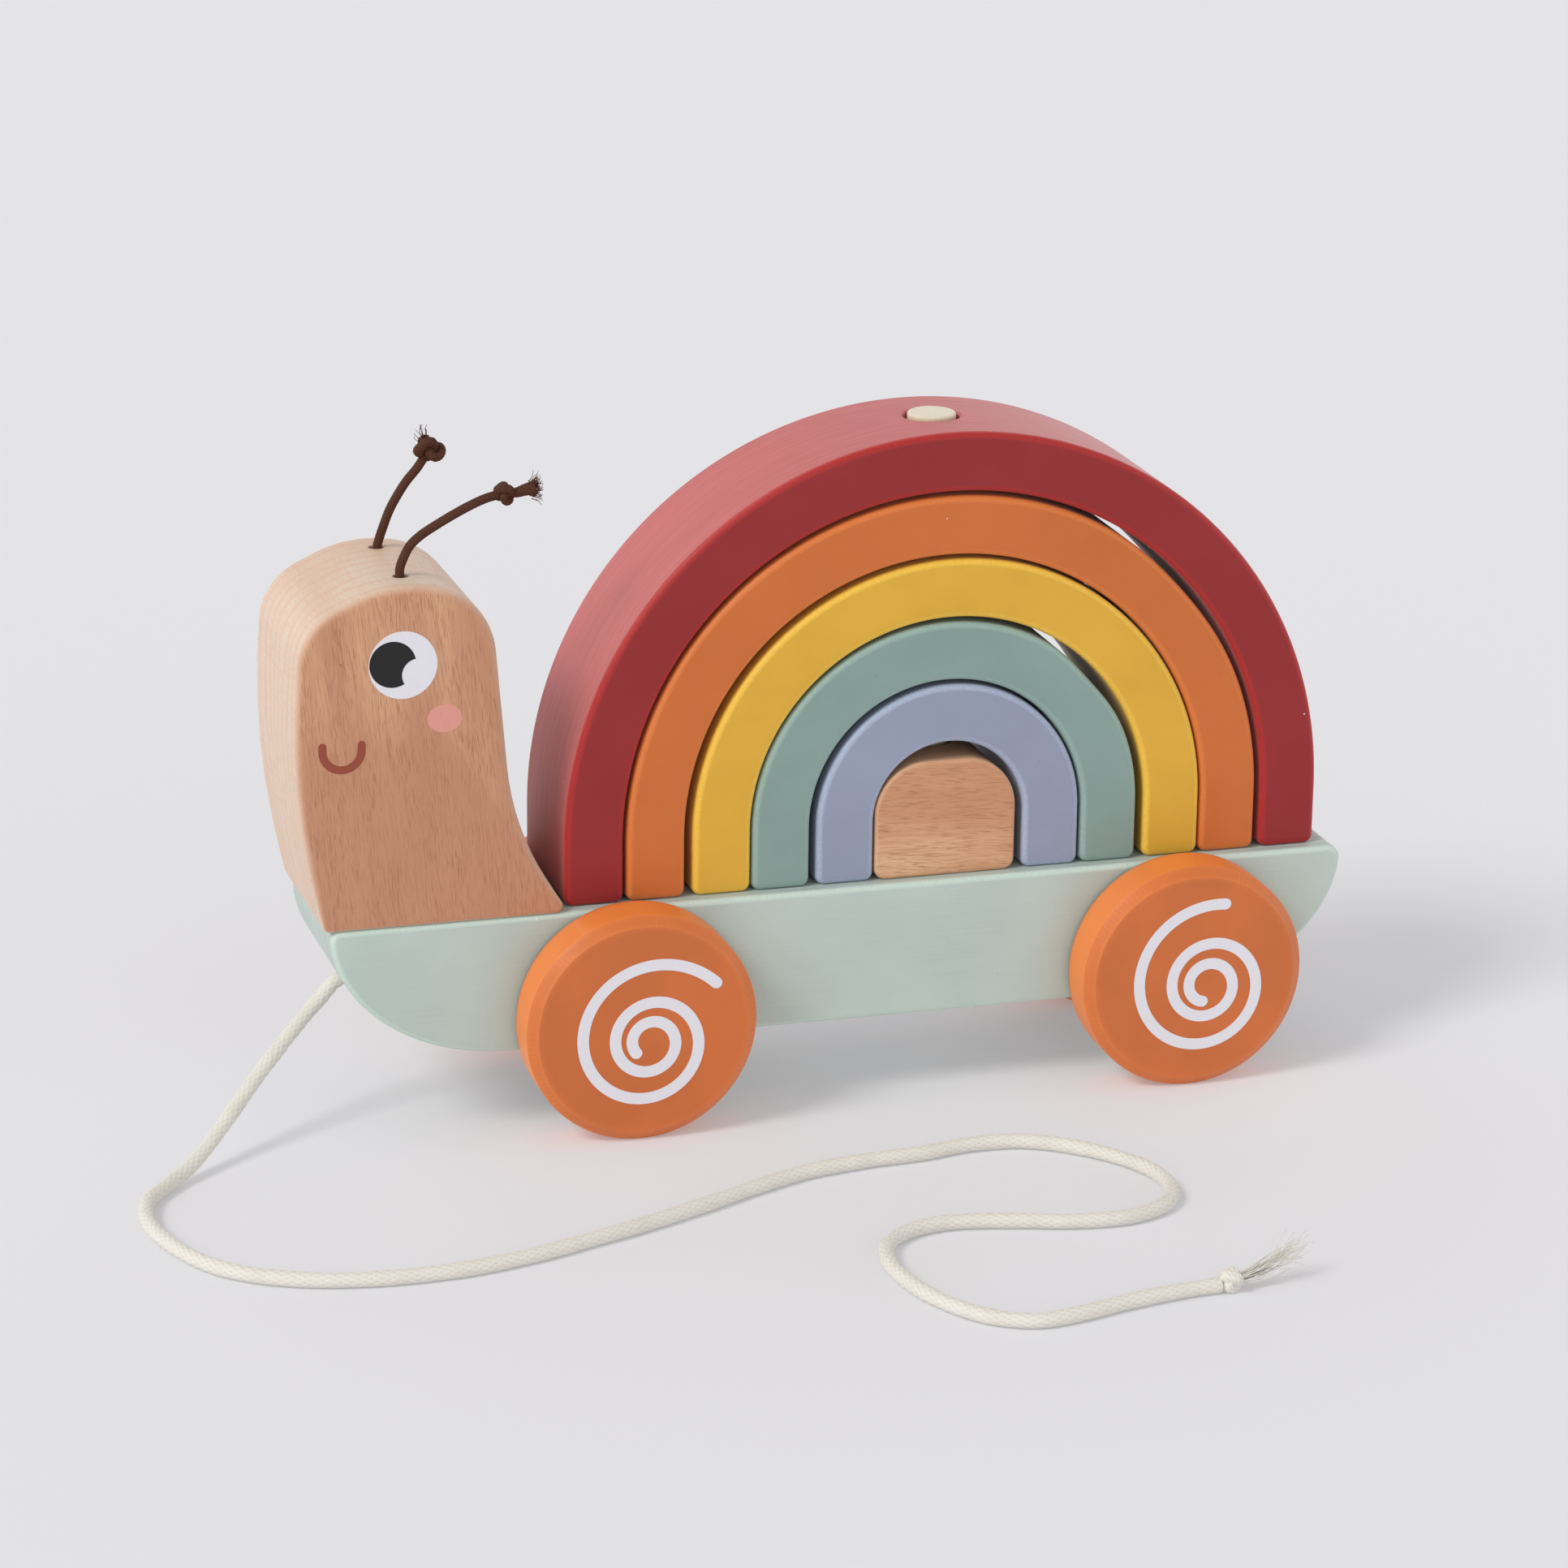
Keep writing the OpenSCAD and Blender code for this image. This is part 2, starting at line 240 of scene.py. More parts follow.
@dataclass(frozen=True)
class SatinPaint:
    """Satin paint sprayed on sanded wood: a slightly clouded tone, edges brighter for wear and a painted highlight,
    pores and white specks.
    """

    name: str
    tone: Colour
    rim: Colour
    flank_tone_and_light: Colour | None = None
    streak_mm: Point = (5.0, 5.0, 5.0)
    streak_depth: float = 0.10
    roughness: float = 0.42

    def make(self) -> bpy.types.Material:
        """Builds the material.

        Returns:
            The node material.
        """
        bench = Bench(bpy.data.materials.new(self.name))
        cloud = bench.noise((26.0, 20.0, 22.0), 3.0)
        streaks = bench.noise(self.streak_mm, 3.0, 0.55)
        grain = bench.noise((0.45, 0.45, 0.45), 2.0, 0.6)
        dark = shade(self.tone, 0.945)
        light = tuple(min(1.0, c * 1.03 + 0.003) for c in self.tone)
        colour = bench.blend(cloud.above(0.3, 0.7), dark, light)
        colour = bench.blend(streaks.above(0.35, 0.75) * 0.35, colour, light)
        brush = bench.noise((24.0, 0.8, 24.0), 3.0, 0.6)
        # Rims take the flank colour with brush streaks; on the red arch that colour is painted light, paler for the
        # key light and the grazing sheen.
        if self.flank_tone_and_light is not None:
            streaked_flank = bench.blend(brush.above(0.34, 0.66), shade(self.flank_tone_and_light, 0.86), self.flank_tone_and_light)
            colour = bench.blend(bench.field("cut").above(0.45, 0.95), colour, streaked_flank)
        # Rounded edges are painted brighter towards the rim colour: wear and a painted highlight.
        edge_wear_and_highlight = bench.field("edge") * (0.55 + 0.45 * grain.above(0.35, 0.65))
        colour = bench.blend(edge_wear_and_highlight, colour, self.rim)
        pores = bench.specks(3.1, 0.05, 0.16)
        colour = bench.blend(pores * 0.55, colour, shade(self.tone, 0.35))
        colour = bench.blend(bench.specks(7.5, 0.03, 0.4) * 0.75, colour, (0.86, 0.80, 0.74))
        height = grain * 0.28 + streaks * 0.5 + brush * bench.field("cut") * 0.5 - pores * 0.8
        return bench.finish({
            "Base Color": colour,
            "Roughness": self.roughness + 0.10 * streaks,
            "Normal": bench.bump(height, self.streak_depth, 0.6),
            "Sheen Weight": 0.10,
            "Sheen Roughness": 0.40,
            "IOR": 1.40,
        })


@dataclass(frozen=True)
class TurnedPaint:
    """Satin paint on a turned wheel: fine rings on the face, tool chatter across the chamfer; the tread, the chamfer
    and the soft edges are painted lighter for the key light and its highlight.
    """

    name: str
    tone: Colour
    rim: Colour
    roughness: float = 0.38
    ring_waves: float = 5200.0
    tool_marks: float = 128.0

    def make(self) -> bpy.types.Material:
        """Builds the material.

        Returns:
            The node material.
        """
        bench = Bench(bpy.data.materials.new(self.name))
        cloud = bench.noise((18.0, 18.0, 18.0), 3.0)
        grain = bench.noise((0.4, 0.4, 0.4), 2.0, 0.6)
        rings = (bench.field("radius") * self.ring_waves + 1.5 * cloud).sine() * 0.5 + 0.5
        turn = bench.node(
            "ShaderNodeMath", {"operation": "ARCTAN2"}, {0: bench.field("sine"), 1: bench.field("cosine")})
        patch = bench.noise((9.0, 9.0, 9.0)).above(0.45, 0.62)
        chatter = ((turn * self.tool_marks + 9.0 * cloud).sine() * 0.5 + 0.5) * patch
        chamfer = bench.field("chamfer")
        side = bench.field("side")
        dark, light = (shade(self.tone, share) for share in (0.93, 1.04))
        colour = bench.blend(cloud.above(0.3, 0.7), dark, light)
        # Painted light: the tread is lighter for the key light; the chamfer, its tool marks and the soft edges carry a
        # painted highlight.
        colour = bench.blend(side * 0.9, colour, self.rim)
        colour = bench.blend(chamfer * (0.20 + 0.10 * chatter), colour, self.rim)
        colour = bench.blend(bench.field("edge") * 0.12, colour, self.rim)
        pores = bench.specks(2.6, 0.05, 0.12) * side
        colour = bench.blend(pores * 0.5, colour, shade(self.tone, 0.4))
        colour = bench.blend(bench.specks(6.5, 0.035, 0.35) * 0.8, colour, (0.95, 0.74, 0.58))
        height = rings * 0.12 * (1.0 - chamfer) + chatter * chamfer * 0.4 + grain * 0.35 * (1.0 - chamfer) - pores
        return bench.finish({
            "Base Color": colour,
            "Roughness": self.roughness + 0.08 * grain - 0.04 * chamfer,
            "Normal": bench.bump(height, 0.07, 0.7),
            "IOR": 1.47,
        })


@dataclass(frozen=True)
class BareWood:
    """Oiled bare wood: the grain runs along the turned Z axis, dashes of ray fleck lie along it, and growth rings show
    as lines where the board's edges cut across them. The edges have a tone of their own, which on the head is painted
    light: paler for the light on its lit side."""

    name: str
    tone: Colour
    deep: Colour
    pale: Colour
    fleck: Colour
    turn: Point = (0.0, 0.0, 0.0)
    fleck_share: float = 0.565
    ring_mm: float = 4.6
    roughness: float = 0.50
    deep_tone_beyond_line: Point | None = None

    def make(self) -> bpy.types.Material:
        """Builds the material.

        Returns:
            The node material.
        """
        bench = Bench(bpy.data.materials.new(self.name))
        broad = bench.noise((11.0, 30.0, 62.0), 2.0, 0.5, self.turn)
        stripe = bench.noise((1.5, 3.0, 34.0), 3.0, 0.6, self.turn)
        fibre = bench.noise((0.28, 0.28, 7.0), 2.0, 0.6, self.turn)
        dash = bench.noise((0.18, 0.6, 3.2), 1.0, 0.4, self.turn)
        patch = bench.noise((4.0, 6.0, 9.0), 1.0, 0.5, self.turn)
        cut = bench.field("cut")
        flecks = dash.above(self.fleck_share, self.fleck_share + 0.07) * (0.45 + 0.55 * patch.above(0.35, 0.6))
        colour = bench.blend(broad.above(0.28, 0.74), self.tone, self.deep)
        # Deeper tone on one side of a slanted line across the face, below a given height.
        if self.deep_tone_beyond_line is not None:
            turn, offset, top = self.deep_tone_beyond_line
            spot = bench.place((1.0, 1.0, 1.0))
            x = bench.node("ShaderNodeSeparateXYZ", inputs={0: spot}, out="X")
            z = bench.node("ShaderNodeSeparateXYZ", inputs={0: spot}, out="Z")
            past = (x * math.cos(turn) + z * math.sin(turn)).above(offset - 0.7, offset + 0.7)
            colour = bench.blend(past * z.above(top + 7.0, top - 9.0) * 0.75, colour, self.deep)
        colour = bench.blend(stripe.above(0.40, 0.70) * 0.36, colour, self.deep)
        colour = bench.blend(fibre.above(0.44, 0.70) * 0.27, colour, self.fleck)
        colour = bench.blend(flecks * 0.64 * (1.0 - 0.75 * cut), colour, self.fleck)
        wander = bench.noise((30.0, 14.0, 30.0), 2.0)
        layer = bench.node("ShaderNodeSeparateXYZ", inputs={0: bench.place((1.0, self.ring_mm, 1.0))}, out="Y")
        ring = ((layer + 2.0 * wander) * math.tau).sine().above(0.45, 1.0)
        ray = bench.noise((0.45, 5.0, 0.45), 2.0).above(0.46, 0.68)
        # The edges' base tone; on the head it is painted light, paler for the light on its lit side.
        edge_grain_and_light = bench.blend(ring * 0.30, self.pale, self.tone)
        edge_grain_and_light = bench.blend(ray * 0.30, edge_grain_and_light, self.tone)
        edge_grain_and_light = bench.blend(broad.above(0.4, 0.7) * 0.3, edge_grain_and_light, self.tone)
        colour = bench.blend(cut, colour, edge_grain_and_light)
        colour = bench.blend(bench.specks(9.0, 0.03, 0.3) * 0.7, colour, (0.12, 0.05, 0.03))
        height = fibre * 0.4 + stripe * 0.25 - flecks * 0.55 * (1.0 - cut) + ring * cut * 0.2
        return bench.finish({
            "Base Color": colour,
            "Roughness": self.roughness + 0.10 * stripe,
            "Normal": bench.bump(height, 0.045, 0.6),
            "IOR": 1.45,
        })


@dataclass(frozen=True)
class Print:
    """Screen-printed ink, thin enough for the wood's fibres to show faintly through it."""

    name: str
    tone: Colour
    show: Colour
    fibre_mm: Point = (0.4, 0.4, 6.0)
    roughness: float = 0.5

    def make(self) -> bpy.types.Material:
        """Builds the material.

        Returns:
            The node material.
        """
        bench = Bench(bpy.data.materials.new(self.name))
        fibre = bench.noise(self.fibre_mm, 2.0, 0.6)
        grit = bench.noise((0.25, 0.25, 0.25), 1.0)
        colour = bench.blend(fibre.above(0.5, 0.8) * 0.35, self.tone, self.show)
        colour = bench.blend(grit.above(0.62, 0.8) * 0.25, colour, self.show)
        return bench.finish({
            "Base Color": colour,
            "Roughness": self.roughness + 0.1 * fibre,
            "Normal": bench.bump(fibre * 0.7 + grit * 0.3, 0.02, 0.5),
            "IOR": 1.38,
        })


@dataclass(frozen=True)
class Yarn:
    """Spun and braided yarn: the crossings stand bright, the crevices between them carry painted shade, fine fibres
    bump it and carry painted glints.
    """

    name: str
    tone: Colour
    crevice_shade: Colour
    glint: Colour
    roughness: float = 0.85
    sheen: float = 0.3

    def make(self) -> bpy.types.Material:
        """Builds the material.

        Returns:
            The node material.
        """
        bench = Bench(bpy.data.materials.new(self.name))
        lift = bench.field("lift")
        fuzz = bench.noise((0.16, 0.16, 0.16), 2.0, 0.7)
        cloud = bench.noise((6.0, 6.0, 6.0), 2.0)
        # Painted shade in the crevices between the crossings, painted glints on the fibres.
        colour = bench.blend(lift.above(0.02, 0.62), self.crevice_shade, self.tone)
        colour = bench.blend(fuzz.above(0.52, 0.78) * 0.4, colour, self.glint)
        colour = bench.blend(cloud.above(0.45, 0.75) * 0.25, colour, self.crevice_shade)
        return bench.finish({
            "Base Color": colour,
            "Roughness": self.roughness,
            "Normal": bench.bump(fuzz, 0.12, 0.8),
            "Sheen Weight": self.sheen,
            "Sheen Roughness": 0.5,
            "Specular IOR Level": 0.3,
            "IOR": 1.4,
        })


@dataclass(frozen=True)
class StudioPaper:
    """Matt pale paper for the floor, lit a little from below, with the faintest cloud in its tone."""

    name: str = "studio_paper"
    tone: Colour = (0.618, 0.617, 0.638)
    glow: Colour = (0.178, 0.177, 0.183)

    def make(self) -> bpy.types.Material:
        """Builds the material.

        Returns:
            The node material.
        """
        bench = Bench(bpy.data.materials.new(self.name))
        cloud = bench.noise((400.0, 400.0, 400.0), 1.0)
        fibre = bench.noise((0.8, 0.8, 0.8), 1.0)
        colour = bench.blend(cloud, self.tone, shade(self.tone, 0.985))
        return bench.finish({
            "Base Color": colour,
            "Roughness": 0.9,
            "Normal": bench.bump(fibre, 0.02, 0.2),
            "Emission Color": self.glow,
            "Emission Strength": 1.0,
            "Specular IOR Level": 0.2,
        })


class Finish(Enum):
    """Every finish on the toy."""

    MINT = SatinPaint(
        "satin_mint", (0.472, 0.562, 0.515), (0.56, 0.68, 0.60), (0.475, 0.560, 0.515),
        streak_mm=(24.0, 1.4, 0.55), streak_depth=0.16, roughness=0.46,
    )
    LAVENDER = SatinPaint("satin_lavender", (0.280, 0.312, 0.420), (0.40, 0.46, 0.60))
    GREEN = SatinPaint("satin_green", (0.227, 0.334, 0.302), (0.30, 0.43, 0.38))
    YELLOW = SatinPaint("satin_yellow", (0.688, 0.387, 0.034), (0.86, 0.54, 0.07))
    ORANGE = SatinPaint("satin_orange", (0.575, 0.143, 0.026), (0.70, 0.20, 0.045))
    # The red arch's flank colour, its third, is painted light: paler for the key light and the grazing sheen.
    RED = SatinPaint(
        "satin_red", (0.275, 0.014, 0.016), (0.43, 0.020, 0.018), (0.555, 0.120, 0.116),
        streak_mm=(9.0, 3.0, 9.0), streak_depth=0.14, roughness=0.44,
    )
    # The wheel's rim colour is painted light: tread, chamfer and edges lighter for the key light and its highlight.
    WHEEL = TurnedPaint("satin_wheel_orange", (0.585, 0.142, 0.031), (0.900, 0.262, 0.055))
    # The head's edge tone, its third colour, is painted light: paler for the light on its lit side.
    HEAD_WOOD = BareWood(
        "oiled_beech_head", (0.640, 0.348, 0.200), (0.505, 0.236, 0.134), (0.680, 0.532, 0.420),
        (0.360, 0.145, 0.075), (0.0, 0.10, 0.0), deep_tone_beyond_line=(math.radians(211.4), 24.75, 92.0),
    )
    BLOCK_WOOD = BareWood(
        "oiled_beech_block", (0.740, 0.435, 0.245), (0.560, 0.270, 0.140), (0.600, 0.350, 0.210),
        (0.340, 0.140, 0.070), (0.0, math.radians(86.0), 0.0), 0.58,
    )
    PEG_WOOD = BareWood(
        "turned_birch", (0.730, 0.640, 0.490), (0.670, 0.570, 0.420), (0.770, 0.705, 0.590),
        (0.500, 0.370, 0.220), (0.0, 0.0, 0.0), 0.68, 2.4,
    )
    WHITE = Print("ink_white", (0.735, 0.725, 0.770), (0.62, 0.60, 0.63))
    WHEEL_WHITE = Print("ink_wheel_white", (0.735, 0.725, 0.770), (0.66, 0.62, 0.64), (0.5, 0.5, 0.5))
    BLACK = Print("ink_black", (0.009, 0.009, 0.010), (0.022, 0.020, 0.020))
    PINK = Print("ink_pink", (0.700, 0.300, 0.245), (0.61, 0.25, 0.19))
    BROWN = Print("ink_brown", (0.285, 0.062, 0.036), (0.22, 0.045, 0.028))
    COTTON = Yarn("cotton_yarn", (0.780, 0.752, 0.680), (0.625, 0.590, 0.505), (0.87, 0.86, 0.82))
    WAXED = Yarn("waxed_yarn", (0.086, 0.030, 0.015), (0.018, 0.006, 0.003), (0.185, 0.074, 0.040), 0.70, 0.0)
    PAPER = StudioPaper()

    def material(self) -> bpy.types.Material:
        """The finish's material, made when it is first asked for."""
        return bpy.data.materials.get(self.value.name) or self.value.make()


# ---------------------------------------------------------------- meshes

FIELDS = ("edge", "cut", "lift", "radius", "chamfer", "side", "cosine", "sine")


class Skin:
    """The points, faces and fields of one piece, gathered block by block."""

    def __init__(self) -> None:
        """Starts an empty skin."""
        self.points: list[np.ndarray] = []
        self.values: dict[str, list[np.ndarray]] = {name: [] for name in FIELDS}
        self.used: set[str] = set()
        self.quads: list[np.ndarray] = []
        self.rings: list[np.ndarray] = []
        self.count = 0

    def add(self, points: np.ndarray, **fields: object) -> np.ndarray:
        """Adds a block of points.

        Args:
            points: an array whose last axis is X, Y, Z.
            fields: numbers at those points, as arrays that broadcast to the block's shape.

        Returns:
            The points' numbers, in the block's shape.
        """
        shape = points.shape[:-1]
        size = math.prod(shape)
        self.points.append(points.reshape(-1, 3))
        for name in FIELDS:
            value = np.broadcast_to(np.asarray(fields.get(name, 0.0), float), shape)
            self.values[name].append(value.ravel())
        self.used |= set(fields)
        self.count += size
        return np.arange(self.count - size, self.count).reshape(shape)

    def weave(self, ids: np.ndarray, around_u: bool = False, around_v: bool = False,
              keep: np.ndarray | None = None) -> None:
        """Joins a grid of points into quads.

        Args:
            ids: the points' numbers on a (u, v) grid, with any leading axes for many grids at once.
            around_u: whether the last row joins the first.
            around_v: whether the last column joins the first.
            keep: which cells are filled; all of them if None.
        """
        if around_u:
            ids = np.concatenate([ids, ids[..., :1, :]], axis=-2)
        if around_v:
            ids = np.concatenate([ids, ids[..., :1]], axis=-1)
        quads = np.stack([ids[..., :-1, :-1], ids[..., 1:, :-1], ids[..., 1:, 1:], ids[..., :-1, 1:]], axis=-1)
        self.quads.append(quads.reshape(-1, 4) if keep is None else quads[keep].reshape(-1, 4))

    def cap(self, ring: np.ndarray) -> None:
        """Closes a ring of points with one flat face."""
        self.rings.append(ring.ravel())

    def tube(self, points: np.ndarray, **fields: object) -> None:
        """Adds a grid of rings as a tube with a flat cap on its first and last ring."""
        ids = self.add(points, **fields)
        self.weave(ids, around_v=True)
        self.cap(ids[0])
        self.cap(ids[-1])

    def build(self, name: str, finish: Finish, smooth: bool = True) -> bpy.types.Object:
        """Makes the mesh object, with its unused points dropped and its faces turned outwards.

        Args:
            name: the piece's name.
            finish: what it is dressed with.
            smooth: whether its faces are shaded smooth.

        Returns:
            The object, at the origin.
        """
        corners = np.concatenate([q.ravel() for q in self.quads] + self.rings)
        sizes = np.concatenate([np.full(len(q), 4) for q in self.quads] + [[len(r)] for r in self.rings])
        used, corners = np.unique(corners, return_inverse=True)
        mesh = bpy.data.meshes.new(name)
        mesh.vertices.add(len(used))
        mesh.vertices.foreach_set("co", np.concatenate(self.points)[used].ravel())
        mesh.loops.add(len(corners))
        mesh.loops.foreach_set("vertex_index", corners.astype(np.int32))
        mesh.polygons.add(len(sizes))
        mesh.polygons.foreach_set("loop_start", (np.cumsum(sizes) - sizes).astype(np.int32))
        mesh.update(calc_edges=True)
        mesh.validate()
        shape = bmesh.new()
        shape.from_mesh(mesh)
        bmesh.ops.recalc_face_normals(shape, faces=shape.faces)
        shape.to_mesh(mesh)
        shape.free()
        corners_each = np.zeros(len(mesh.polygons), np.int32)
        mesh.polygons.foreach_get("loop_total", corners_each)
        mesh.polygons.foreach_set("use_smooth", (corners_each <= 4) & smooth)
        for key in sorted(self.used):
            layer = mesh.attributes.new(key, "FLOAT", "POINT")
            layer.data.foreach_set("value", np.concatenate(self.values[key])[used].astype(np.float32))
        mesh.materials.append(finish.material())
        mesh.update()
        piece = bpy.data.objects.new(name, mesh)
        bpy.context.scene.collection.objects.link(piece)
        return piece


def put(piece: bpy.types.Object, body: str, slot: str, *nodes: str) -> bpy.types.Object:
    """Hangs a piece on a body and lets it stand for CAD nodes.

    Args:
        piece: the finished object.
        body: the CAD body that it moves with.
        slot: the record's material slot; not used.
        nodes: the CAD nodes that it replaces.

    Returns:
        The same piece.
    """
    if nodes:
        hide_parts(*nodes)
    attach(piece, body)
    LOG.info("piece %s on body %s: %d faces", piece.name, body, len(piece.data.polygons))
    return piece


# ---------------------------------------------------------------- outlines and boards

def rounded(corners: list[tuple[float, float, float]], step_deg: float = 4.0) -> np.ndarray:
    """A closed outline with filleted corners: each fillet is an arc of the corner's radius that touches both sides.

    Args:
        corners: X, Z and radius of each corner; a radius of 0 keeps the corner as a point.
        step_deg: the turn from one point of a fillet to the next.

    Returns:
        The outline's points, shape (n, 2).
    """
    points: list[np.ndarray] = []
    for index, (x, z, radius) in enumerate(corners):
        here = np.array((x, z))
        if radius == 0:
            points.append(here[None])
            continue
        before = np.array(corners[index - 1][:2]) - here
        after = np.array(corners[(index + 1) % len(corners)][:2]) - here
        u, v = before / np.hypot(*before), after / np.hypot(*after)
        half = math.acos(float(np.clip(u @ v, -1, 1))) / 2
        middle = here + (u + v) / np.hypot(*(u + v)) * radius / math.sin(half)
        start, stop = here + u * radius / math.tan(half) - middle, here + v * radius / math.tan(half) - middle
        turn = math.atan2(start[0] * stop[1] - start[1] * stop[0], start @ stop)
        count = max(4, int(abs(turn) / math.radians(step_deg)) + 1)
        angles = math.atan2(start[1], start[0]) + np.linspace(0, turn, count)
        points.append(middle + radius * np.stack([np.cos(angles), np.sin(angles)], -1))
    return np.concatenate(points)


@dataclass(frozen=True)
class Mouth:
    """The open end of a round bore in a board's rim.

    at is X and Z of its centre on the outline, y its place across, axis the direction of the bore (0 along X,
    1 along Z), inward the sign of the way in, and cells half the cell count of the opened square.
    """

    at: tuple[float, float]
    y: float
    radius: float
    axis: int
    inward: int
    flare: float = 0.6 * MM
    cells: int = 8

    @property
    def reach(self) -> float:
        """Half the side of the opened square of cells."""
        return 0.82 * (self.radius + self.flare)


@dataclass
class Board:
    """A board cut to an outline in X and Z and centred on the middle plane.

    Its skin is a grid: rows follow the outline, columns go across. Both face edges are quarter-rounds: a column
    at angle a lies inside the outline by r (1 - sin a) and inside the face by r (1 - cos a). A bore opens a
    square of cells: the points around it slide so that the square's border becomes the bore's circle, and the
    slide fades out at 2.2 times the square's size.
    """

    outline: np.ndarray
    width: float
    edge: float | np.ndarray
    mouths: list[Mouth] = field(default_factory=list)
    line_step: float = 2.4 * MM
    row_step: float = 2.6 * MM
    spread: float = 2.2
    clearance: float = 0.3

    def _band(self, mouth: Mouth, centre: float, places: np.ndarray, limit: float = math.inf) -> np.ndarray:
        """Puts an even band of places round a mouth's centre, as far as the limit, in place of those it covers."""
        step = mouth.reach / mouth.cells
        wide = int(math.ceil(self.spread * mouth.cells)) + 1
        band = centre + step * np.arange(-wide, wide + 1)
        band = band[abs(band) <= limit]
        clear = self.clearance * step
        kept = places[(places < band[0] - clear) | (places > band[-1] + clear)]
        return np.sort(np.concatenate([kept, band]))

    def _rows(self) -> tuple[np.ndarray, np.ndarray, list[int]]:
        """Outline points with even rows at the mouths, their edge radii, and each mouth's middle row."""
        ring = np.concatenate([self.outline, self.outline[:1]])
        length = np.concatenate([[0], np.cumsum(np.hypot(*np.diff(ring, axis=0).T))])
        edge = np.broadcast_to(self.edge, len(self.outline))
        edge = np.concatenate([edge, edge[:1]])
        gaps = np.maximum(1, np.ceil(np.diff(length) / self.row_step).astype(int))
        places = np.concatenate([
            np.linspace(a, b, n, endpoint=False) for a, b, n in zip(length[:-1], length[1:], gaps)
        ])
        centres = []
        for mouth in self.mouths:
            fine = np.linspace(0, length[-1], 40001)
            away = np.hypot(
                np.interp(fine, length, ring[:, 0]) - mouth.at[0], np.interp(fine, length, ring[:, 1]) - mouth.at[1]
            )
            centre = fine[int(np.argmin(away))]
            places = self._band(mouth, centre, places)
            centres.append(centre)
        rows = np.stack([np.interp(places, length, ring[:, k]) for k in (0, 1)], -1)
        return rows, np.interp(places, length, edge), [int(np.argmin(abs(places - c))) for c in centres]

    def _lines(self) -> np.ndarray:
        """Places of the columns across the rim, even around each mouth and denser there."""
        half = self.width / 2 - float(np.max(self.edge)) - 0.25 * MM
        count = max(2, int(round(2 * half / self.line_step)))
        lines = np.linspace(-half, half, count + 1)
        for mouth in self.mouths:
            lines = self._band(mouth, mouth.y, lines, half)
        return lines

    def _open(self, grid: np.ndarray, mouth: Mouth, row: int, line: int, keep: np.ndarray,
              ids: np.ndarray) -> tuple[np.ndarray, np.ndarray, np.ndarray]:
        """Slides the grid's points to open one mouth.

        Args:
            grid: the skin's points, changed in place.
            mouth: the mouth.
            row: its middle row.
            line: its middle column.
            keep: the cells that stay filled, changed in place.
            ids: the points' numbers.

        Returns:
            The rim's point numbers in order of angle, their directions from the bore's axis, and their heights.
        """
        across = 0 if mouth.axis == 1 else 2
        along = 2 - across
        n = mouth.cells
        a = ((np.arange(grid.shape[0]) - row) / n)[:, None]
        b = ((np.arange(grid.shape[1]) - line) / n)[None, :]
        square = np.maximum(abs(a), abs(b))
        window = slice(max(0, row - int(self.spread * n) - 2), row + int(self.spread * n) + 3)
        local = grid[window, line][:, (across, along)]
        sign = 1.0 if local[-1, 0] > local[0, 0] else -1.0
        length = np.maximum(np.hypot(a, b), 1e-9)
        middle = mouth.at[0] if across == 0 else mouth.at[1]
        wide = mouth.radius + mouth.flare
        fade = np.clip((square - 1) / (self.spread - 1), 0, 1)
        fade = fade * fade * (3 - 2 * fade)
        near = square < self.spread
        new_across = (middle + sign * wide * a / length) * (1 - fade) + grid[..., across] * fade
        new_y = (mouth.y + wide * b / length) * (1 - fade) + grid[..., 1] * fade
        local = local[np.argsort(local[:, 0])]
        height = np.interp(new_across, local[:, 0], local[:, 1])
        grid[..., across] = np.where(near, new_across, grid[..., across])
        grid[..., 1] = np.where(near, new_y, grid[..., 1])
        grid[..., along] = np.where(near, height, grid[..., along])
        keep[row - n:row + n, line - n:line + n] = False
        up, side = np.arange(-n, n), np.full(2 * n, n)
        rim = np.concatenate([
            np.stack(pair, -1) for pair in ((up, -side), (side, up), (-up, side), (-side, -up))
        ])
        rim_ids = ids[row + rim[:, 0], line + rim[:, 1]]
        here = grid[row + rim[:, 0], line + rim[:, 1]]
        away = np.stack([here[:, across] - middle, here[:, 1] - mouth.y], -1) / wide
        order = np.argsort(np.arctan2(away[:, 1], away[:, 0]).round(6))
        return rim_ids[order], away[order], here[order, along]

    def _throat(self, skin: Skin, mouth: Mouth, away: np.ndarray, height: np.ndarray) -> np.ndarray:
        """Rounds a mouth's lip down into its bore: radius + flare (1 - sin t), depth flare (1 - cos t)."""
        angle = np.radians([25.0, 50.0, 72.0, 90.0])[:, None]
        radius = mouth.radius + mouth.flare * (1 - np.sin(angle))
        depth = height[None] + mouth.inward * mouth.flare * (1 - np.cos(angle))
        return self._ring(skin, mouth, away, radius, depth)

    def _ring(self, skin: Skin, mouth: Mouth, away: np.ndarray, radius: np.ndarray, depth: np.ndarray) -> np.ndarray:
        """Adds rings of the given radius and place along a mouth's bore."""
        shape = np.broadcast_shapes(radius.shape, depth.shape, (1, len(away)))
        points = np.zeros((*shape, 3))
        across = 0 if mouth.axis == 1 else 2
        middle = mouth.at[0] if across == 0 else mouth.at[1]
        points[..., across] = middle + radius * away[:, 0]
        points[..., 1] = mouth.y + radius * away[:, 1]
        points[..., 2 - across] = depth
        return skin.add(points, cut=1.0, edge=0.0)

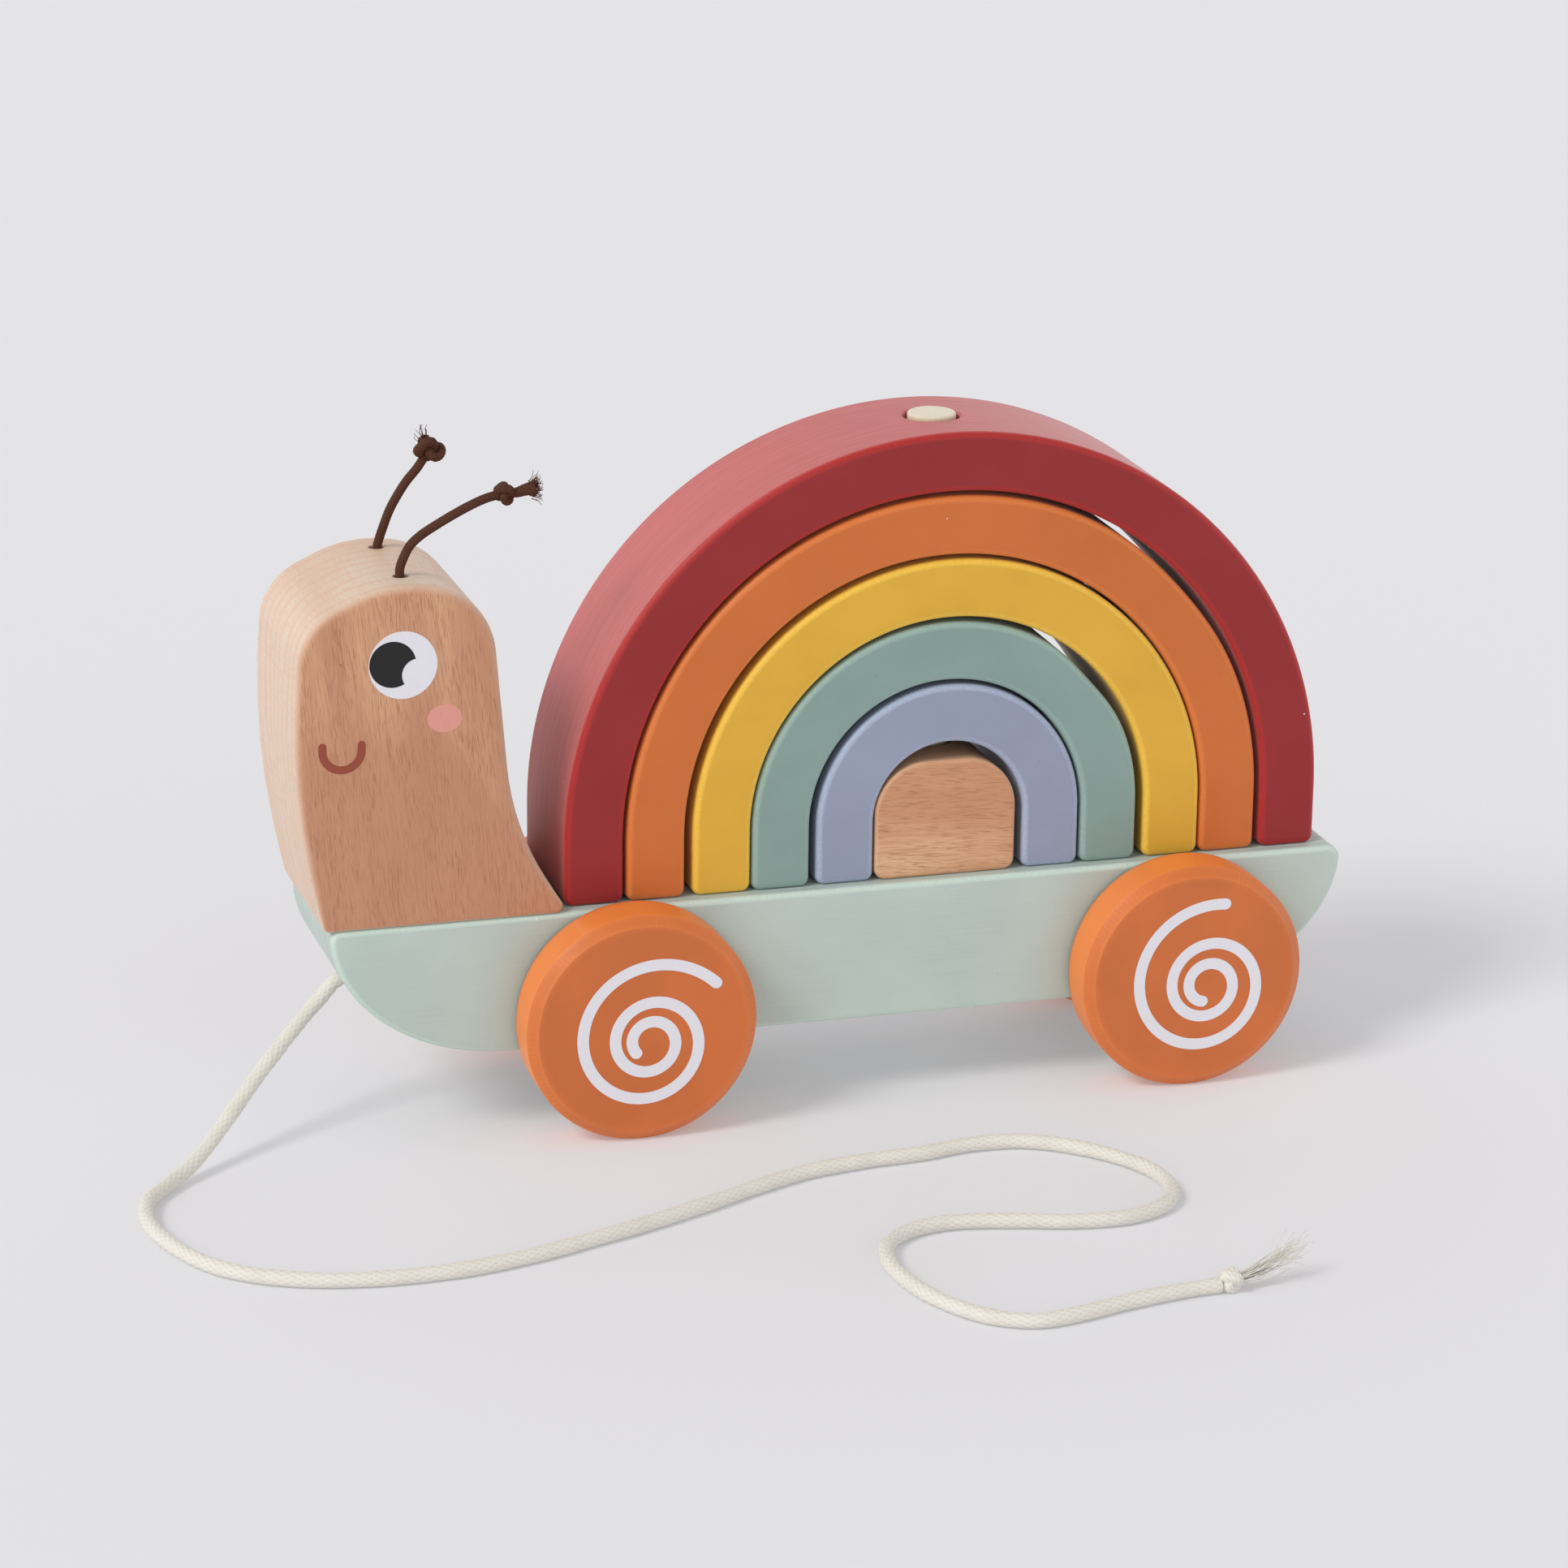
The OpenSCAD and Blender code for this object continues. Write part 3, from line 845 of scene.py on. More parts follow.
    def skin(self, through: tuple[tuple[int, int], ...] = (), blind: dict[int, float] | None = None) -> Skin:
        """Makes the board's closed skin.

        Args:
            through: pairs of mouths that are the two ends of one bore.
            blind: depth of each blind bore, by its mouth's number.

        Returns:
            The skin, with fields "edge" (1 on the rounded edges) and "cut" (1 on the rim, 0 on the faces).
        """
        rows, edge, row_at = self._rows()
        lines = self._lines()
        ahead = np.roll(rows, -1, 0) - np.roll(rows, 1, 0)
        outward = np.stack([ahead[:, 1], -ahead[:, 0]], -1) / np.hypot(*ahead.T)[:, None]
        area = np.sum(rows[:, 0] * np.roll(rows[:, 1], -1) - rows[:, 1] * np.roll(rows[:, 0], -1))
        outward *= np.sign(area)
        angle = np.radians(np.linspace(0, 90, 7))
        inset = np.concatenate([[1.2], 1 - np.sin(angle), np.zeros(len(lines)), (1 - np.sin(angle))[::-1], [1.2]])
        drop = 1 - np.cos(angle)
        y = np.concatenate([
            -self.width / 2 + edge[:, None] * np.concatenate([[0.0], drop]),
            np.broadcast_to(lines, (len(rows), len(lines))),
            self.width / 2 - edge[:, None] * np.concatenate([drop[::-1], [0.0]]),
        ], axis=1)
        flat = rows[:, None] - outward[:, None] * (inset[None, :, None] * edge[:, None, None])
        grid = np.stack([flat[..., 0], y, flat[..., 1]], -1)
        bulge = np.concatenate([[0.0], np.sin(2 * angle) ** 0.7])
        # The edge field peaks mid-way round each rounded edge; the paints brighten it for wear and a painted
        # highlight.
        edge_wear_and_highlight = np.concatenate([bulge, np.zeros(len(lines)), bulge[::-1]])
        rim = np.concatenate([[0.0], np.sin(angle) ** 2, np.ones(len(lines)), (np.sin(angle) ** 2)[::-1], [0.0]])
        skin = Skin()
        ids = np.arange(grid.shape[0] * grid.shape[1]).reshape(grid.shape[:2])
        keep = np.ones(ids.shape, bool)
        first = len(angle) + 1
        rims = []
        for mouth, row in zip(self.mouths, row_at):
            line = first + int(np.argmin(abs(lines - mouth.y)))
            rims.append(self._open(grid, mouth, row, line, keep, ids))
        skin.add(grid, edge=edge_wear_and_highlight[None], cut=rim[None])
        skin.weave(ids, around_u=True, keep=keep[:, :-1])
        skin.cap(ids[:, 0])
        skin.cap(ids[::-1, -1])
        throats = []
        for mouth, (rim_ids, away, height) in zip(self.mouths, rims):
            throat = self._throat(skin, mouth, away, height)
            skin.weave(np.concatenate([rim_ids[None], throat]), around_v=True)
            throats.append(throat[-1])
        for one, two in through:
            skin.weave(np.stack([throats[one], throats[two]]), around_v=True)
        for index, depth in (blind or {}).items():
            mouth, (_, away, height) = self.mouths[index], rims[index]
            bottom = np.full((1, len(away)), height.mean() + mouth.inward * depth)
            floor = self._ring(skin, mouth, away, np.array([[mouth.radius]]), bottom)
            skin.weave(np.stack([throats[index], floor[0]]), around_v=True)
            skin.cap(floor[0])
        return skin


# ---------------------------------------------------------------- turned pieces and prints

def turned(profile: np.ndarray, middle: Point, axis: int, way: float = 1.0, sides: int = 128) -> np.ndarray:
    """A turned surface: each profile point (radius, place) makes a circle of that radius round the axis.

    Args:
        profile: radius and place along the axis, shape (n, 2).
        middle: the point of the axis from which places are measured.
        axis: 1 for an axis along Y, 2 for one along Z.
        way: 1 to measure places along the axis, -1 against it.
        sides: the points in each circle.

    Returns:
        The grid of points, shape (n, sides, 3).
    """
    phi = np.linspace(0, 2 * math.pi, sides, endpoint=False)[None]
    radius, place = profile[:, :1], profile[:, 1:]
    grid = np.zeros((len(profile), sides, 3))
    grid[..., 0] = middle[0] + radius * np.cos(phi)
    grid[..., 3 - axis] = middle[3 - axis] + radius * np.sin(phi)
    grid[..., axis] = middle[axis] + way * place
    return grid


@dataclass(frozen=True)
class Ink:
    """A printed shape on a face that lies at place y and looks towards -Y (side -1) or +Y (side 1)."""

    y: float
    side: int
    thickness: float = 0.05 * MM

    def _raise(self, flat: np.ndarray, over: float) -> np.ndarray:
        """Puts X and Z points at a height over the face."""
        return np.stack([flat[..., 0], np.full(flat.shape[:-1], self.y + self.side * over), flat[..., 1]], -1)

    def plate(self, outline: np.ndarray) -> Skin:
        """A flat shape inside a closed outline of X and Z points, its foot sunk a little into the face."""
        skin = Skin()
        skin.tube(np.stack([self._raise(outline, -self.thickness), self._raise(outline, self.thickness)]))
        return skin

    def stroke(self, line: np.ndarray, half: float) -> Skin:
        """A stroke of even width with round ends: in each end cap the half width falls as sqrt(h^2 - d^2)."""
        ahead = np.gradient(line, axis=0)
        ahead /= np.hypot(*ahead.T)[:, None]
        cap = np.radians(np.linspace(4, 90, 9))
        start = line[0] - ahead[0] * half * np.cos(cap)[:, None]
        stop = line[-1] + ahead[-1] * half * np.sin(np.pi / 2 - cap[::-1])[:, None]
        path = np.concatenate([start[:-1], line, stop[1:]])
        width = np.concatenate([half * np.sin(cap)[:-1], np.full(len(line), half), half * np.sin(cap[::-1])[1:]])
        ahead = np.concatenate([np.repeat(ahead[:1], 8, 0), ahead, np.repeat(ahead[-1:], 8, 0)])
        across = np.stack([-ahead[:, 1], ahead[:, 0]], -1) * width[:, None]
        left, right = path + across, path - across
        skin = Skin()
        low, high = -self.thickness, self.thickness
        skin.tube(np.stack([
            self._raise(left, low), self._raise(left, high), self._raise(right, high), self._raise(right, low)
        ], axis=1))
        return skin


def oval(x: float, z: float, half_x: float, half_z: float, points: int = 72) -> np.ndarray:
    """An ellipse's outline: centre plus (half_x cos t, half_z sin t)."""
    t = np.linspace(0, 2 * math.pi, points, endpoint=False)
    return np.stack([x + half_x * np.cos(t), z + half_z * np.sin(t)], -1)


# ---------------------------------------------------------------- yarns, tubes, knots and tufts

def run(path: np.ndarray) -> float:
    """The length of a curve given as points."""
    return float(np.sum(np.linalg.norm(np.diff(path, axis=0), axis=1)))


def smooth_route(points: np.ndarray, step: float) -> np.ndarray:
    """A Catmull-Rom curve through the points, resampled at equal steps of length.

    Args:
        points: the route, shape (n, 3).
        step: the wanted distance from one point to the next.

    Returns:
        The evenly spaced curve.
    """
    ends = np.concatenate([2 * points[:1] - points[1:2], points, 2 * points[-1:] - points[-2:-1]])
    t = np.linspace(0, 1, 24, endpoint=False)[None, :, None]
    p0, p1, p2, p3 = (ends[k:len(ends) - 3 + k, None] for k in range(4))
    curve = 0.5 * (2 * p1 + (p2 - p0) * t + (2 * p0 - 5 * p1 + 4 * p2 - p3) * t ** 2
                   + (3 * p1 - p0 - 3 * p2 + p3) * t ** 3)
    curve = np.concatenate([curve.reshape(-1, 3), points[-1:]])
    length = np.concatenate([[0], np.cumsum(np.linalg.norm(np.diff(curve, axis=0), axis=1))])
    places = np.linspace(0, length[-1], max(3, int(round(length[-1] / step)) + 1))
    return np.stack([np.interp(places, length, curve[:, k]) for k in range(3)], -1)


@dataclass(frozen=True)
class Plait:
    """A tubular braid: strands wind both ways and pass over and under each other.

    With turn from 0 to 1 round the tube and s along it, strand lines are whole values of
    a = n turn + s / pitch and b = n turn - s / pitch. Where floor(a) + floor(b) is even the first way lies on
    top, and the surface stands up as cos(pi (f - 1/2)) across the upper strand and half as much along it.
    """

    strands: int = 8
    pitch: float = 2.3 * MM
    relief: float = 0.12
    round_points: int = 40

    def tube(self, skin: Skin, path: np.ndarray, radius: np.ndarray | float, reference: Point,
             closed: bool = False) -> np.ndarray:
        """Sweeps the braid along a path.

        Args:
            skin: where the points go.
            path: centreline points, shape (n, 3).
            radius: the cord's radius, one number or one for each point.
            reference: a direction that the path never runs along; it sets where turn is 0.
            closed: whether the path's end joins its start.

        Returns:
            The grid of point numbers.
        """
        ahead = (np.roll(path, -1, 0) - np.roll(path, 1, 0)) if closed else np.gradient(path, axis=0)
        ahead = unit(ahead)
        side = unit(np.cross(np.array(reference), ahead))
        over = np.cross(ahead, side)
        turn = np.arange(self.round_points)[None] / self.round_points
        along = np.concatenate([[0], np.cumsum(np.linalg.norm(np.diff(path, axis=0), axis=1))])[:, None]
        a = self.strands * turn + along / self.pitch
        b = self.strands * turn - along / self.pitch
        on_top = (np.floor(a) + np.floor(b)) % 2 < 0.5
        across = np.where(on_top, a, b) % 1.0 - 0.5
        down = np.where(on_top, b, a) % 1.0 - 0.5
        lift = np.cos(np.pi * across) ** 0.7 * (0.5 + 0.5 * np.cos(np.pi * down))
        size = np.broadcast_to(np.asarray(radius, float), (len(path),))[:, None]
        wide = size * (1 - self.relief + self.relief * lift)
        angle = 2 * math.pi * turn
        grid = path[:, None] + wide[..., None] * (
            np.cos(angle)[..., None] * side[:, None] + np.sin(angle)[..., None] * over[:, None]
        )
        ids = skin.add(grid, lift=lift)
        skin.weave(ids, around_u=closed, around_v=True)
        if not closed:
            skin.cap(ids[0])
            skin.cap(ids[-1])
        return ids


@dataclass(frozen=True)
class Knot:
    """A pulled-tight overhand knot: cord laid along a trefoil, x = sin t + 2 sin 2t, y = cos t - 2 cos 2t,
    z = -sin 3t, in a frame whose third axis is the way that the cord runs through it."""

    centre: Point
    along: Point
    unit: float
    squash: float
    radius: float
    lump: float = 0.08

    def tie(self, skin: Skin, plait: Plait) -> None:
        """Adds the knot to a skin."""
        axis = unit(np.array(self.along))
        first = unit(np.cross(axis, (0.0, 1.0, 0.3)))
        second = np.cross(axis, first)
        t = np.linspace(0, 2 * math.pi, 170, endpoint=False)
        x, y, z = np.sin(t) + 2 * np.sin(2 * t), np.cos(t) - 2 * np.cos(2 * t), -np.sin(3 * t) * self.squash
        path = np.array(self.centre) + self.unit * (x[:, None] * first + y[:, None] * second + z[:, None] * axis)
        radius = self.radius * (1 + self.lump * np.sin(2 * t + 0.7) + self.lump * 0.6 * np.sin(5 * t))
        plait.tube(skin, path, radius, tuple(axis), closed=True)


@dataclass(frozen=True)
class Tuft:
    """Loose yarns that leave a knot: each starts on a small disc, spreads as t^1.4, bends and tapers."""

    root: Point
    along: Point
    lift: Point
    count: int
    length: float
    spread: float
    bundle: float
    thickness: float
    seed: int
    rise: float = 0.25
    curl: float = 0.10

    def comb(self, skin: Skin, floor: float | None = None) -> None:
        """Adds the yarns to a skin.

        Args:
            skin: where the points go.
            floor: a height that no yarn goes below, or None.
        """
        rng = np.random.default_rng(self.seed)
        axis = unit(np.array(self.along))
        up = unit(np.array(self.lift) - axis * (np.array(self.lift) @ axis))
        side = np.cross(axis, up)
        n = self.count
        t = np.linspace(0, 1, 15)[None, :, None]
        disc = rng.normal(size=(n, 1, 2)) * 0.5
        length = self.length * rng.uniform(0.55, 1.0, (n, 1, 1))
        width = self.bundle + self.spread * t ** 1.4
        phase, waves = rng.uniform(0, 6.28, (2, n, 1, 1)), rng.uniform(0.6, 1.7, (2, n, 1, 1))
        sway = rng.uniform(0.3, 1.0, (2, n, 1, 1))
        curl = self.curl * self.length * t ** 1.5 * np.sin(waves * t * 4 + phase) * sway
        path = (np.array(self.root) + axis * length * t
                + side * (disc[..., :1] * width + curl[0])
                + up * (disc[..., 1:] * width + curl[1] + self.rise * self.length * t ** 1.3))
        radius = self.thickness * rng.uniform(0.6, 1.1, (n, 1, 1)) * (1 - 0.6 * t)
        if floor is not None:
            path[..., 2] = np.maximum(path[..., 2], floor + radius[..., 0])
        ahead = unit(np.gradient(path, axis=1))
        across = unit(np.cross(ahead, up + 0.2 * side))
        over = np.cross(ahead, across)
        angle = np.arange(5) * 2 * math.pi / 5
        ring = np.cos(angle)[:, None] * across[:, :, None] + np.sin(angle)[:, None] * over[:, :, None]
        ids = skin.add(path[:, :, None] + radius[..., None] * ring, lift=rng.uniform(0.35, 1.0, (n, 1, 1)))
        skin.weave(ids, around_v=True)
        for ring_ids in np.concatenate([ids[:, 0, ::-1], ids[:, -1]]):
            skin.cap(ring_ids)


# ---------------------------------------------------------------- the sub-assemblies

@dataclass
class PullCord:
    """The braided cotton cord: from its stop knot through the board's nose, down to the floor and along it."""

    diameter: float = 3.5 * MM
    length: float = 0.53
    hanging_mm: tuple[Point, ...] = (
        (-83.1, 0, 31), (-94, 0, 31), (-101, 0, 31), (-104.2, -0.1, 29.9), (-107, -0.4, 27), (-110.2, -1.5, 24.2),
        (-115.7, -5.5, 20.3), (-120.6, -9.5, 16.8), (-125.2, -13.4, 13.3), (-131.7, -19.5, 8.4),
        (-137.7, -25.5, 4.5), (-142.6, -30.2, 2.4),
    )
    lying_mm: tuple[tuple[float, float], ...] = (
        (-148, -36), (-152.5, -43), (-154, -54), (-151.5, -66), (-147, -76), (-141, -83), (-133, -88), (-123, -91.5),
        (-111, -93), (-98, -92.5), (-84, -89.5), (-70, -84.5), (-56, -79), (-42, -72.5), (-30, -66.5), (-18, -61.5),
        (-5, -59), (8, -58), (19, -56), (29, -56.5), (38, -61), (46, -69), (51.5, -79), (52, -89), (48, -97),
        (39, -101.5), (27, -101), (15, -97.5), (3, -95), (-6, -96.5), (-13, -102), (-16, -111), (-15, -123),
        (-11, -134), (-5, -142), (3, -146), (12, -145), (23, -142), (33, -140), (43.5, -139),
    )
    rest_z_mm: float = 1.66
    plait: Plait = Plait()
    drawn: float = 3.25 * MM

    def make(self) -> None:
        route = np.array([*self.hanging_mm, *((x, y, self.rest_z_mm) for x, y in self.lying_mm)]) * MM
        path = smooth_route(route, 0.30 * MM)
        skin = Skin()
        place = np.linspace(0, self.length / MM, len(path))
        uneven = 1 + 0.022 * np.sin(place / 2.9) + 0.018 * np.sin(place / 7.3 + 1.0) + 0.012 * np.sin(place / 1.31)
        self.plait.tube(skin, path, self.drawn / 2 * uneven, (0.0, 0.0, 1.0))
        cord = put(skin.build("braided_pull_cord", Finish.COTTON), "base", "cotton", "pull_cord")
        low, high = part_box("cord_stop_knot")
        stop = Skin()
        Knot(tuple((low + high) / 2), (1.0, 0.0, 0.0), 1.25 * MM, 1.2, 1.75 * MM).tie(stop, self.plait)
        stop_knot = put(stop.build("tied_stop_knot", Finish.COTTON), "base", "cotton", "cord_stop_knot")
        low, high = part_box("cord_end_knot")
        end = Skin()
        fine = Plait(6, 1.5 * MM, 0.14, 28)
        middle = (low + high) / 2
        Knot(tuple(middle), (1.0, 0.05, 0.12), 0.50 * MM, 1.9, 1.30 * MM).tie(end, fine)
        end_knot = put(end.build("tied_end_knot", Finish.COTTON), "base", "cotton", "cord_end_knot")
        fray = Skin()
        root = (high.x - 0.9 * MM, middle.y, middle.z + 0.2 * MM)
        Tuft(
            root, (1.0, 0.20, 0.0), (0.0, 0.0, 1.0), 60, 17.0 * MM, 3.0 * MM, 1.1 * MM, 0.13 * MM, 7, 0.22, 0.13,
        ).comb(fray, 0.1 * MM)
        frayed = put(fray.build("frayed_cotton_end", Finish.COTTON), "base", "cotton", "cord_frayed_end")
        LOG.info("pull cord: %.3f m along its centreline", run(path))


@dataclass
class Antenna:
    """One waxed cord feeler: it stands up from its hole, bends over, and ends in a knot and a frayed tail."""

    label: str
    y_mm: float
    route_mm: tuple[tuple[float, float], ...]
    knot_unit: float
    knot_radius: float
    tail: Point
    tail_length: float
    tail_radius: float
    tuft: int
    tuft_length: float
    diameter: float = 2.0 * MM
    foot_x_mm: float = -91.5
    depth_mm: float = 14.0

    def make(self) -> None:
        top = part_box("head")[1].z / MM
        route = np.array([
            (self.foot_x_mm, self.y_mm, top - self.depth_mm),
            *((x, self.y_mm, top + z) for x, z in self.route_mm),
        ]) * MM
        path = smooth_route(route, 0.16 * MM)
        skin = Skin()
        weave = Plait(6, 0.85 * MM, 0.10, 24)
        weave.tube(skin, path, self.diameter / 2, (0.0, 1.0, 0.0))
        feeler = put(
            skin.build(f"waxed_feeler_{self.label}", Finish.WAXED), "base", "waxed_cord", f"antenna_{self.label}")
        knot = Skin()
        tip = path[-1]
        ahead = unit(path[-1] - path[-20])
        centre = tip + ahead * 0.4 * MM
        way = tuple(ahead + (0.0, 0.3, 0.2))
        Knot(tuple(centre), way, self.knot_unit, 1.5, self.knot_radius, 0.10).tie(knot, weave)
        tail_way = unit(np.array(self.tail))
        tail_path = smooth_route(np.stack([
            centre, centre + tail_way * self.tail_length * 0.4 + (0, 0, -0.3 * MM),
            centre + tail_way * self.tail_length * 0.75, centre + tail_way * self.tail_length,
        ]), 0.16 * MM)
        swell = self.tail_radius * (0.85 + 0.55 * np.linspace(0, 1, len(tail_path)) ** 2)
        weave.tube(knot, tail_path, swell, (0.0, 1.0, 0.0))
        Tuft(
            tuple(tail_path[-1] - tail_way * 0.8 * MM), tuple(tail_way), (0.0, 0.2, 1.0), self.tuft, self.tuft_length,
            1.1 * MM, self.tail_radius * 1.1, 0.13 * MM, 11 + self.tuft, 0.10, 0.30,
        ).comb(knot)
        tied = put(
            knot.build(f"feeler_knot_{self.label}", Finish.WAXED), "base", "waxed_cord", f"antenna_knot_{self.label}")


@dataclass
class Chassis:
    """The painted board with its cord hole and knot pocket, the peg, the head's dowels and the axles."""

    front_curve: float = 38.6 * MM
    rear_curve: float = 35.0 * MM
    front_corner: float = 2.3 * MM
    rear_corner: float = 3.0 * MM
    edge: float = 1.25 * MM
    cord_hole: float = 2.3 * MM
    cord_hole_z: float = 31.0 * MM
    pocket: float = 7.0 * MM
    pocket_back: float = 30.0 * MM
    pocket_top: float = 36.0 * MM

    def outline(self) -> np.ndarray:
        """The board's side view: quarter ellipses under both ends, with small corners above them."""
        low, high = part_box("base")
        rise = high.z - low.z
        a = np.linspace(0.125, math.pi / 2, 40)
        front = np.stack([low.x + self.front_curve * (1 - np.cos(a)), high.z - rise * np.sin(a), 0 * a], -1)
        b = np.linspace(0, math.acos(1 / 6), 36)
        rear = np.stack([high.x - self.rear_curve * (1 - np.sin(b)), low.z + rise * (1 - np.cos(b)), 0 * b], -1)
        corners = [*map(tuple, front), *map(tuple, rear)]
        return rounded(corners + [(high.x, high.z, self.rear_corner), (low.x, high.z, self.front_corner)])

    def make(self) -> None:
        """Makes the board and the peg, and dresses the hidden dowels and the axles."""
        low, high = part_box("base")
        cosine = 1 - math.sqrt(1 - ((high.z - self.cord_hole_z) / (high.z - low.z)) ** 2)
        hole_x = low.x + self.front_curve * cosine
        pocket_x = low.x + self.pocket_back
        board = Board(self.outline(), high.y - low.y, self.edge, [
            Mouth((hole_x, self.cord_hole_z), 0.0, self.cord_hole, 0, 1, 0.5 * MM, 4),
            Mouth((pocket_x, low.z), 0.0, self.pocket, 1, 1, 0.5 * MM, 10),
        ])
        skin = board.skin(blind={0: pocket_x - self.pocket - hole_x - 0.6 * MM, 1: self.pocket_top - low.z - 0.9 * MM})
        put(skin.build("painted_board", Finish.MINT), "base", "mint_paint", "base")
        low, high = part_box("peg")
        radius = (high.x - low.x) / 2
        lip = 0.55 * MM
        t = np.radians(np.linspace(0, 90, 6))
        profile = np.concatenate([
            [(radius - 2.6 * MM, high.z), (radius - 1.1 * MM, high.z)],
            np.stack([radius - lip + lip * np.sin(t), high.z - lip + lip * np.cos(t)], -1),
            [(radius, low.z)],
        ])
        skin = Skin()
        skin.tube(
            turned(profile, ((low.x + high.x) / 2, 0.0, 0.0), 2, sides=72),
            cut=np.array([1, 1, 1, 0.8, 0.6, 0.4, 0.2, 0, 0])[:, None])
        put(skin.build("turned_peg", Finish.PEG_WOOD), "base", "birch", "peg")
        for node in ("head_dowels", "front_axle", "rear_axle"):
            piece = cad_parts[node]
            piece.data.materials.clear()
            piece.data.materials.append(Finish.PEG_WOOD.material())
            LOG.info("node %s keeps its shape, in birch", node)


@dataclass
class Head:
    """The snail's head: a beech board with soft edges, two feeler holes, and a printed face on both sides."""

    overhang: float = 7.4 * MM
    corners_mm: tuple[Point, ...] = (
        (58.4, 0, 1.5), (46.8, 19.4, 59.5), (42.2, 70.8, 16.4), (20.3, 74.4, 28), (2.1, 65.5, 14.0),
        (-1.2, 30.5, 160), (6.3, 0, 1.5),
    )
    edge: float = 1.7 * MM
    foot_edge: float = 0.8 * MM
    antenna_back: float = 25.0 * MM
    antenna_y: float = 11.5 * MM
    hole: float = 1.6 * MM

    def make(self) -> None:
        """Makes the head and its prints."""
        low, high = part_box("head")
        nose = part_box("base")[0].x - self.overhang
        outline = rounded([(nose + x * MM, low.z + z * MM, r * MM) for x, z, r in self.corners_mm], 3.0)
        up = np.clip((outline[:, 1] - low.z - 1.5 * MM) / (9 * MM), 0, 1)
        edge = self.foot_edge + (self.edge - self.foot_edge) * up * up * (3 - 2 * up)
        x = nose + self.antenna_back
        mouths = [Mouth((x, high.z), side * self.antenna_y, self.hole, 1, -1, 0.22 * MM, 4) for side in (-1, 1)]
        skin = Board(outline, high.y - low.y, edge, mouths).skin(blind={0: 13.6 * MM, 1: 13.6 * MM})
        put(skin.build("beech_head", Finish.HEAD_WOOD), "base", "beech", "head")
        for side, name in ((-1, "left"), (1, "right")):
            self._face(nose, low.z, low.y if side < 0 else high.y, side, name)

    def _face(self, nose: float, foot: float, y: float, side: int, name: str) -> None:
        """Prints an eye, a cheek and a smile on one side.

        Args:
            nose: X of the tip of the nose.
            foot: Z of the head's underside.
            y: the face's place.
            side: -1 for the left side, 1 for the right.
            name: the side's name.
        """
        def at(x_mm: float, z_mm: float) -> tuple[float, float]:
            """A point of the face, from millimetres behind the nose and above the board."""
            return nose + x_mm * MM, foot + z_mm * MM

        ink, over = Ink(y, side), Ink(y, side, 0.09 * MM)
        t = np.radians(np.linspace(-180, 0, 60))
        x, z = at(10.5, 39.4)
        arm = np.linspace(1.0, 0.2, 4) * MM
        lip = np.stack([x + 4.1 * MM * np.cos(t), z + 4.15 * MM * np.sin(t)], -1)
        left = np.stack([np.full(4, x - 4.1 * MM), z + arm], -1)
        right = np.stack([np.full(4, x + 4.1 * MM), z + arm[::-1]], -1)
        pupil = self._pupil(at(21.3, 57.0), 4.9 * MM, at(26.7, 54.5), 3.5 * MM)
        for part, skin, finish, slot in (
            ("eye_white", ink.plate(oval(*at(23.45, 56.75), 7.2 * MM, 7.2 * MM, 96)), Finish.WHITE, "print_white"),
            ("eye_pupil", over.plate(pupil), Finish.BLACK, "print_black"),
            ("cheek", ink.plate(oval(*at(32.1, 44.7), 3.7 * MM, 3.0 * MM)), Finish.PINK, "print_pink"),
            ("smile", ink.stroke(np.concatenate([left, lip, right]), 0.85 * MM), Finish.BROWN, "print_brown"),
        ):
            put(skin.build(f"{part}_{name}", finish, False), "base", slot)

    @staticmethod
    def _pupil(centre: tuple[float, float], radius: float, bite: tuple[float, float],
               bite_radius: float) -> np.ndarray:
        """A disc with a round bite: the disc's arc outside the bite, then the bite's arc inside the disc."""
        span = math.hypot(bite[0] - centre[0], bite[1] - centre[1])
        toward = math.atan2(bite[1] - centre[1], bite[0] - centre[0])
        open_half = math.acos((radius ** 2 + span ** 2 - bite_radius ** 2) / (2 * radius * span))
        bite_half = math.acos((bite_radius ** 2 + span ** 2 - radius ** 2) / (2 * bite_radius * span))
        a = toward + np.linspace(open_half, 2 * math.pi - open_half, 80)
        b = toward + math.pi + np.linspace(bite_half, -bite_half, 40)[1:-1]
        outer = np.stack([centre[0] + radius * np.cos(a), centre[1] + radius * np.sin(a)], -1)
        inner = np.stack([bite[0] + bite_radius * np.cos(b), bite[1] + bite_radius * np.sin(b)], -1)
        return np.concatenate([outer, inner])


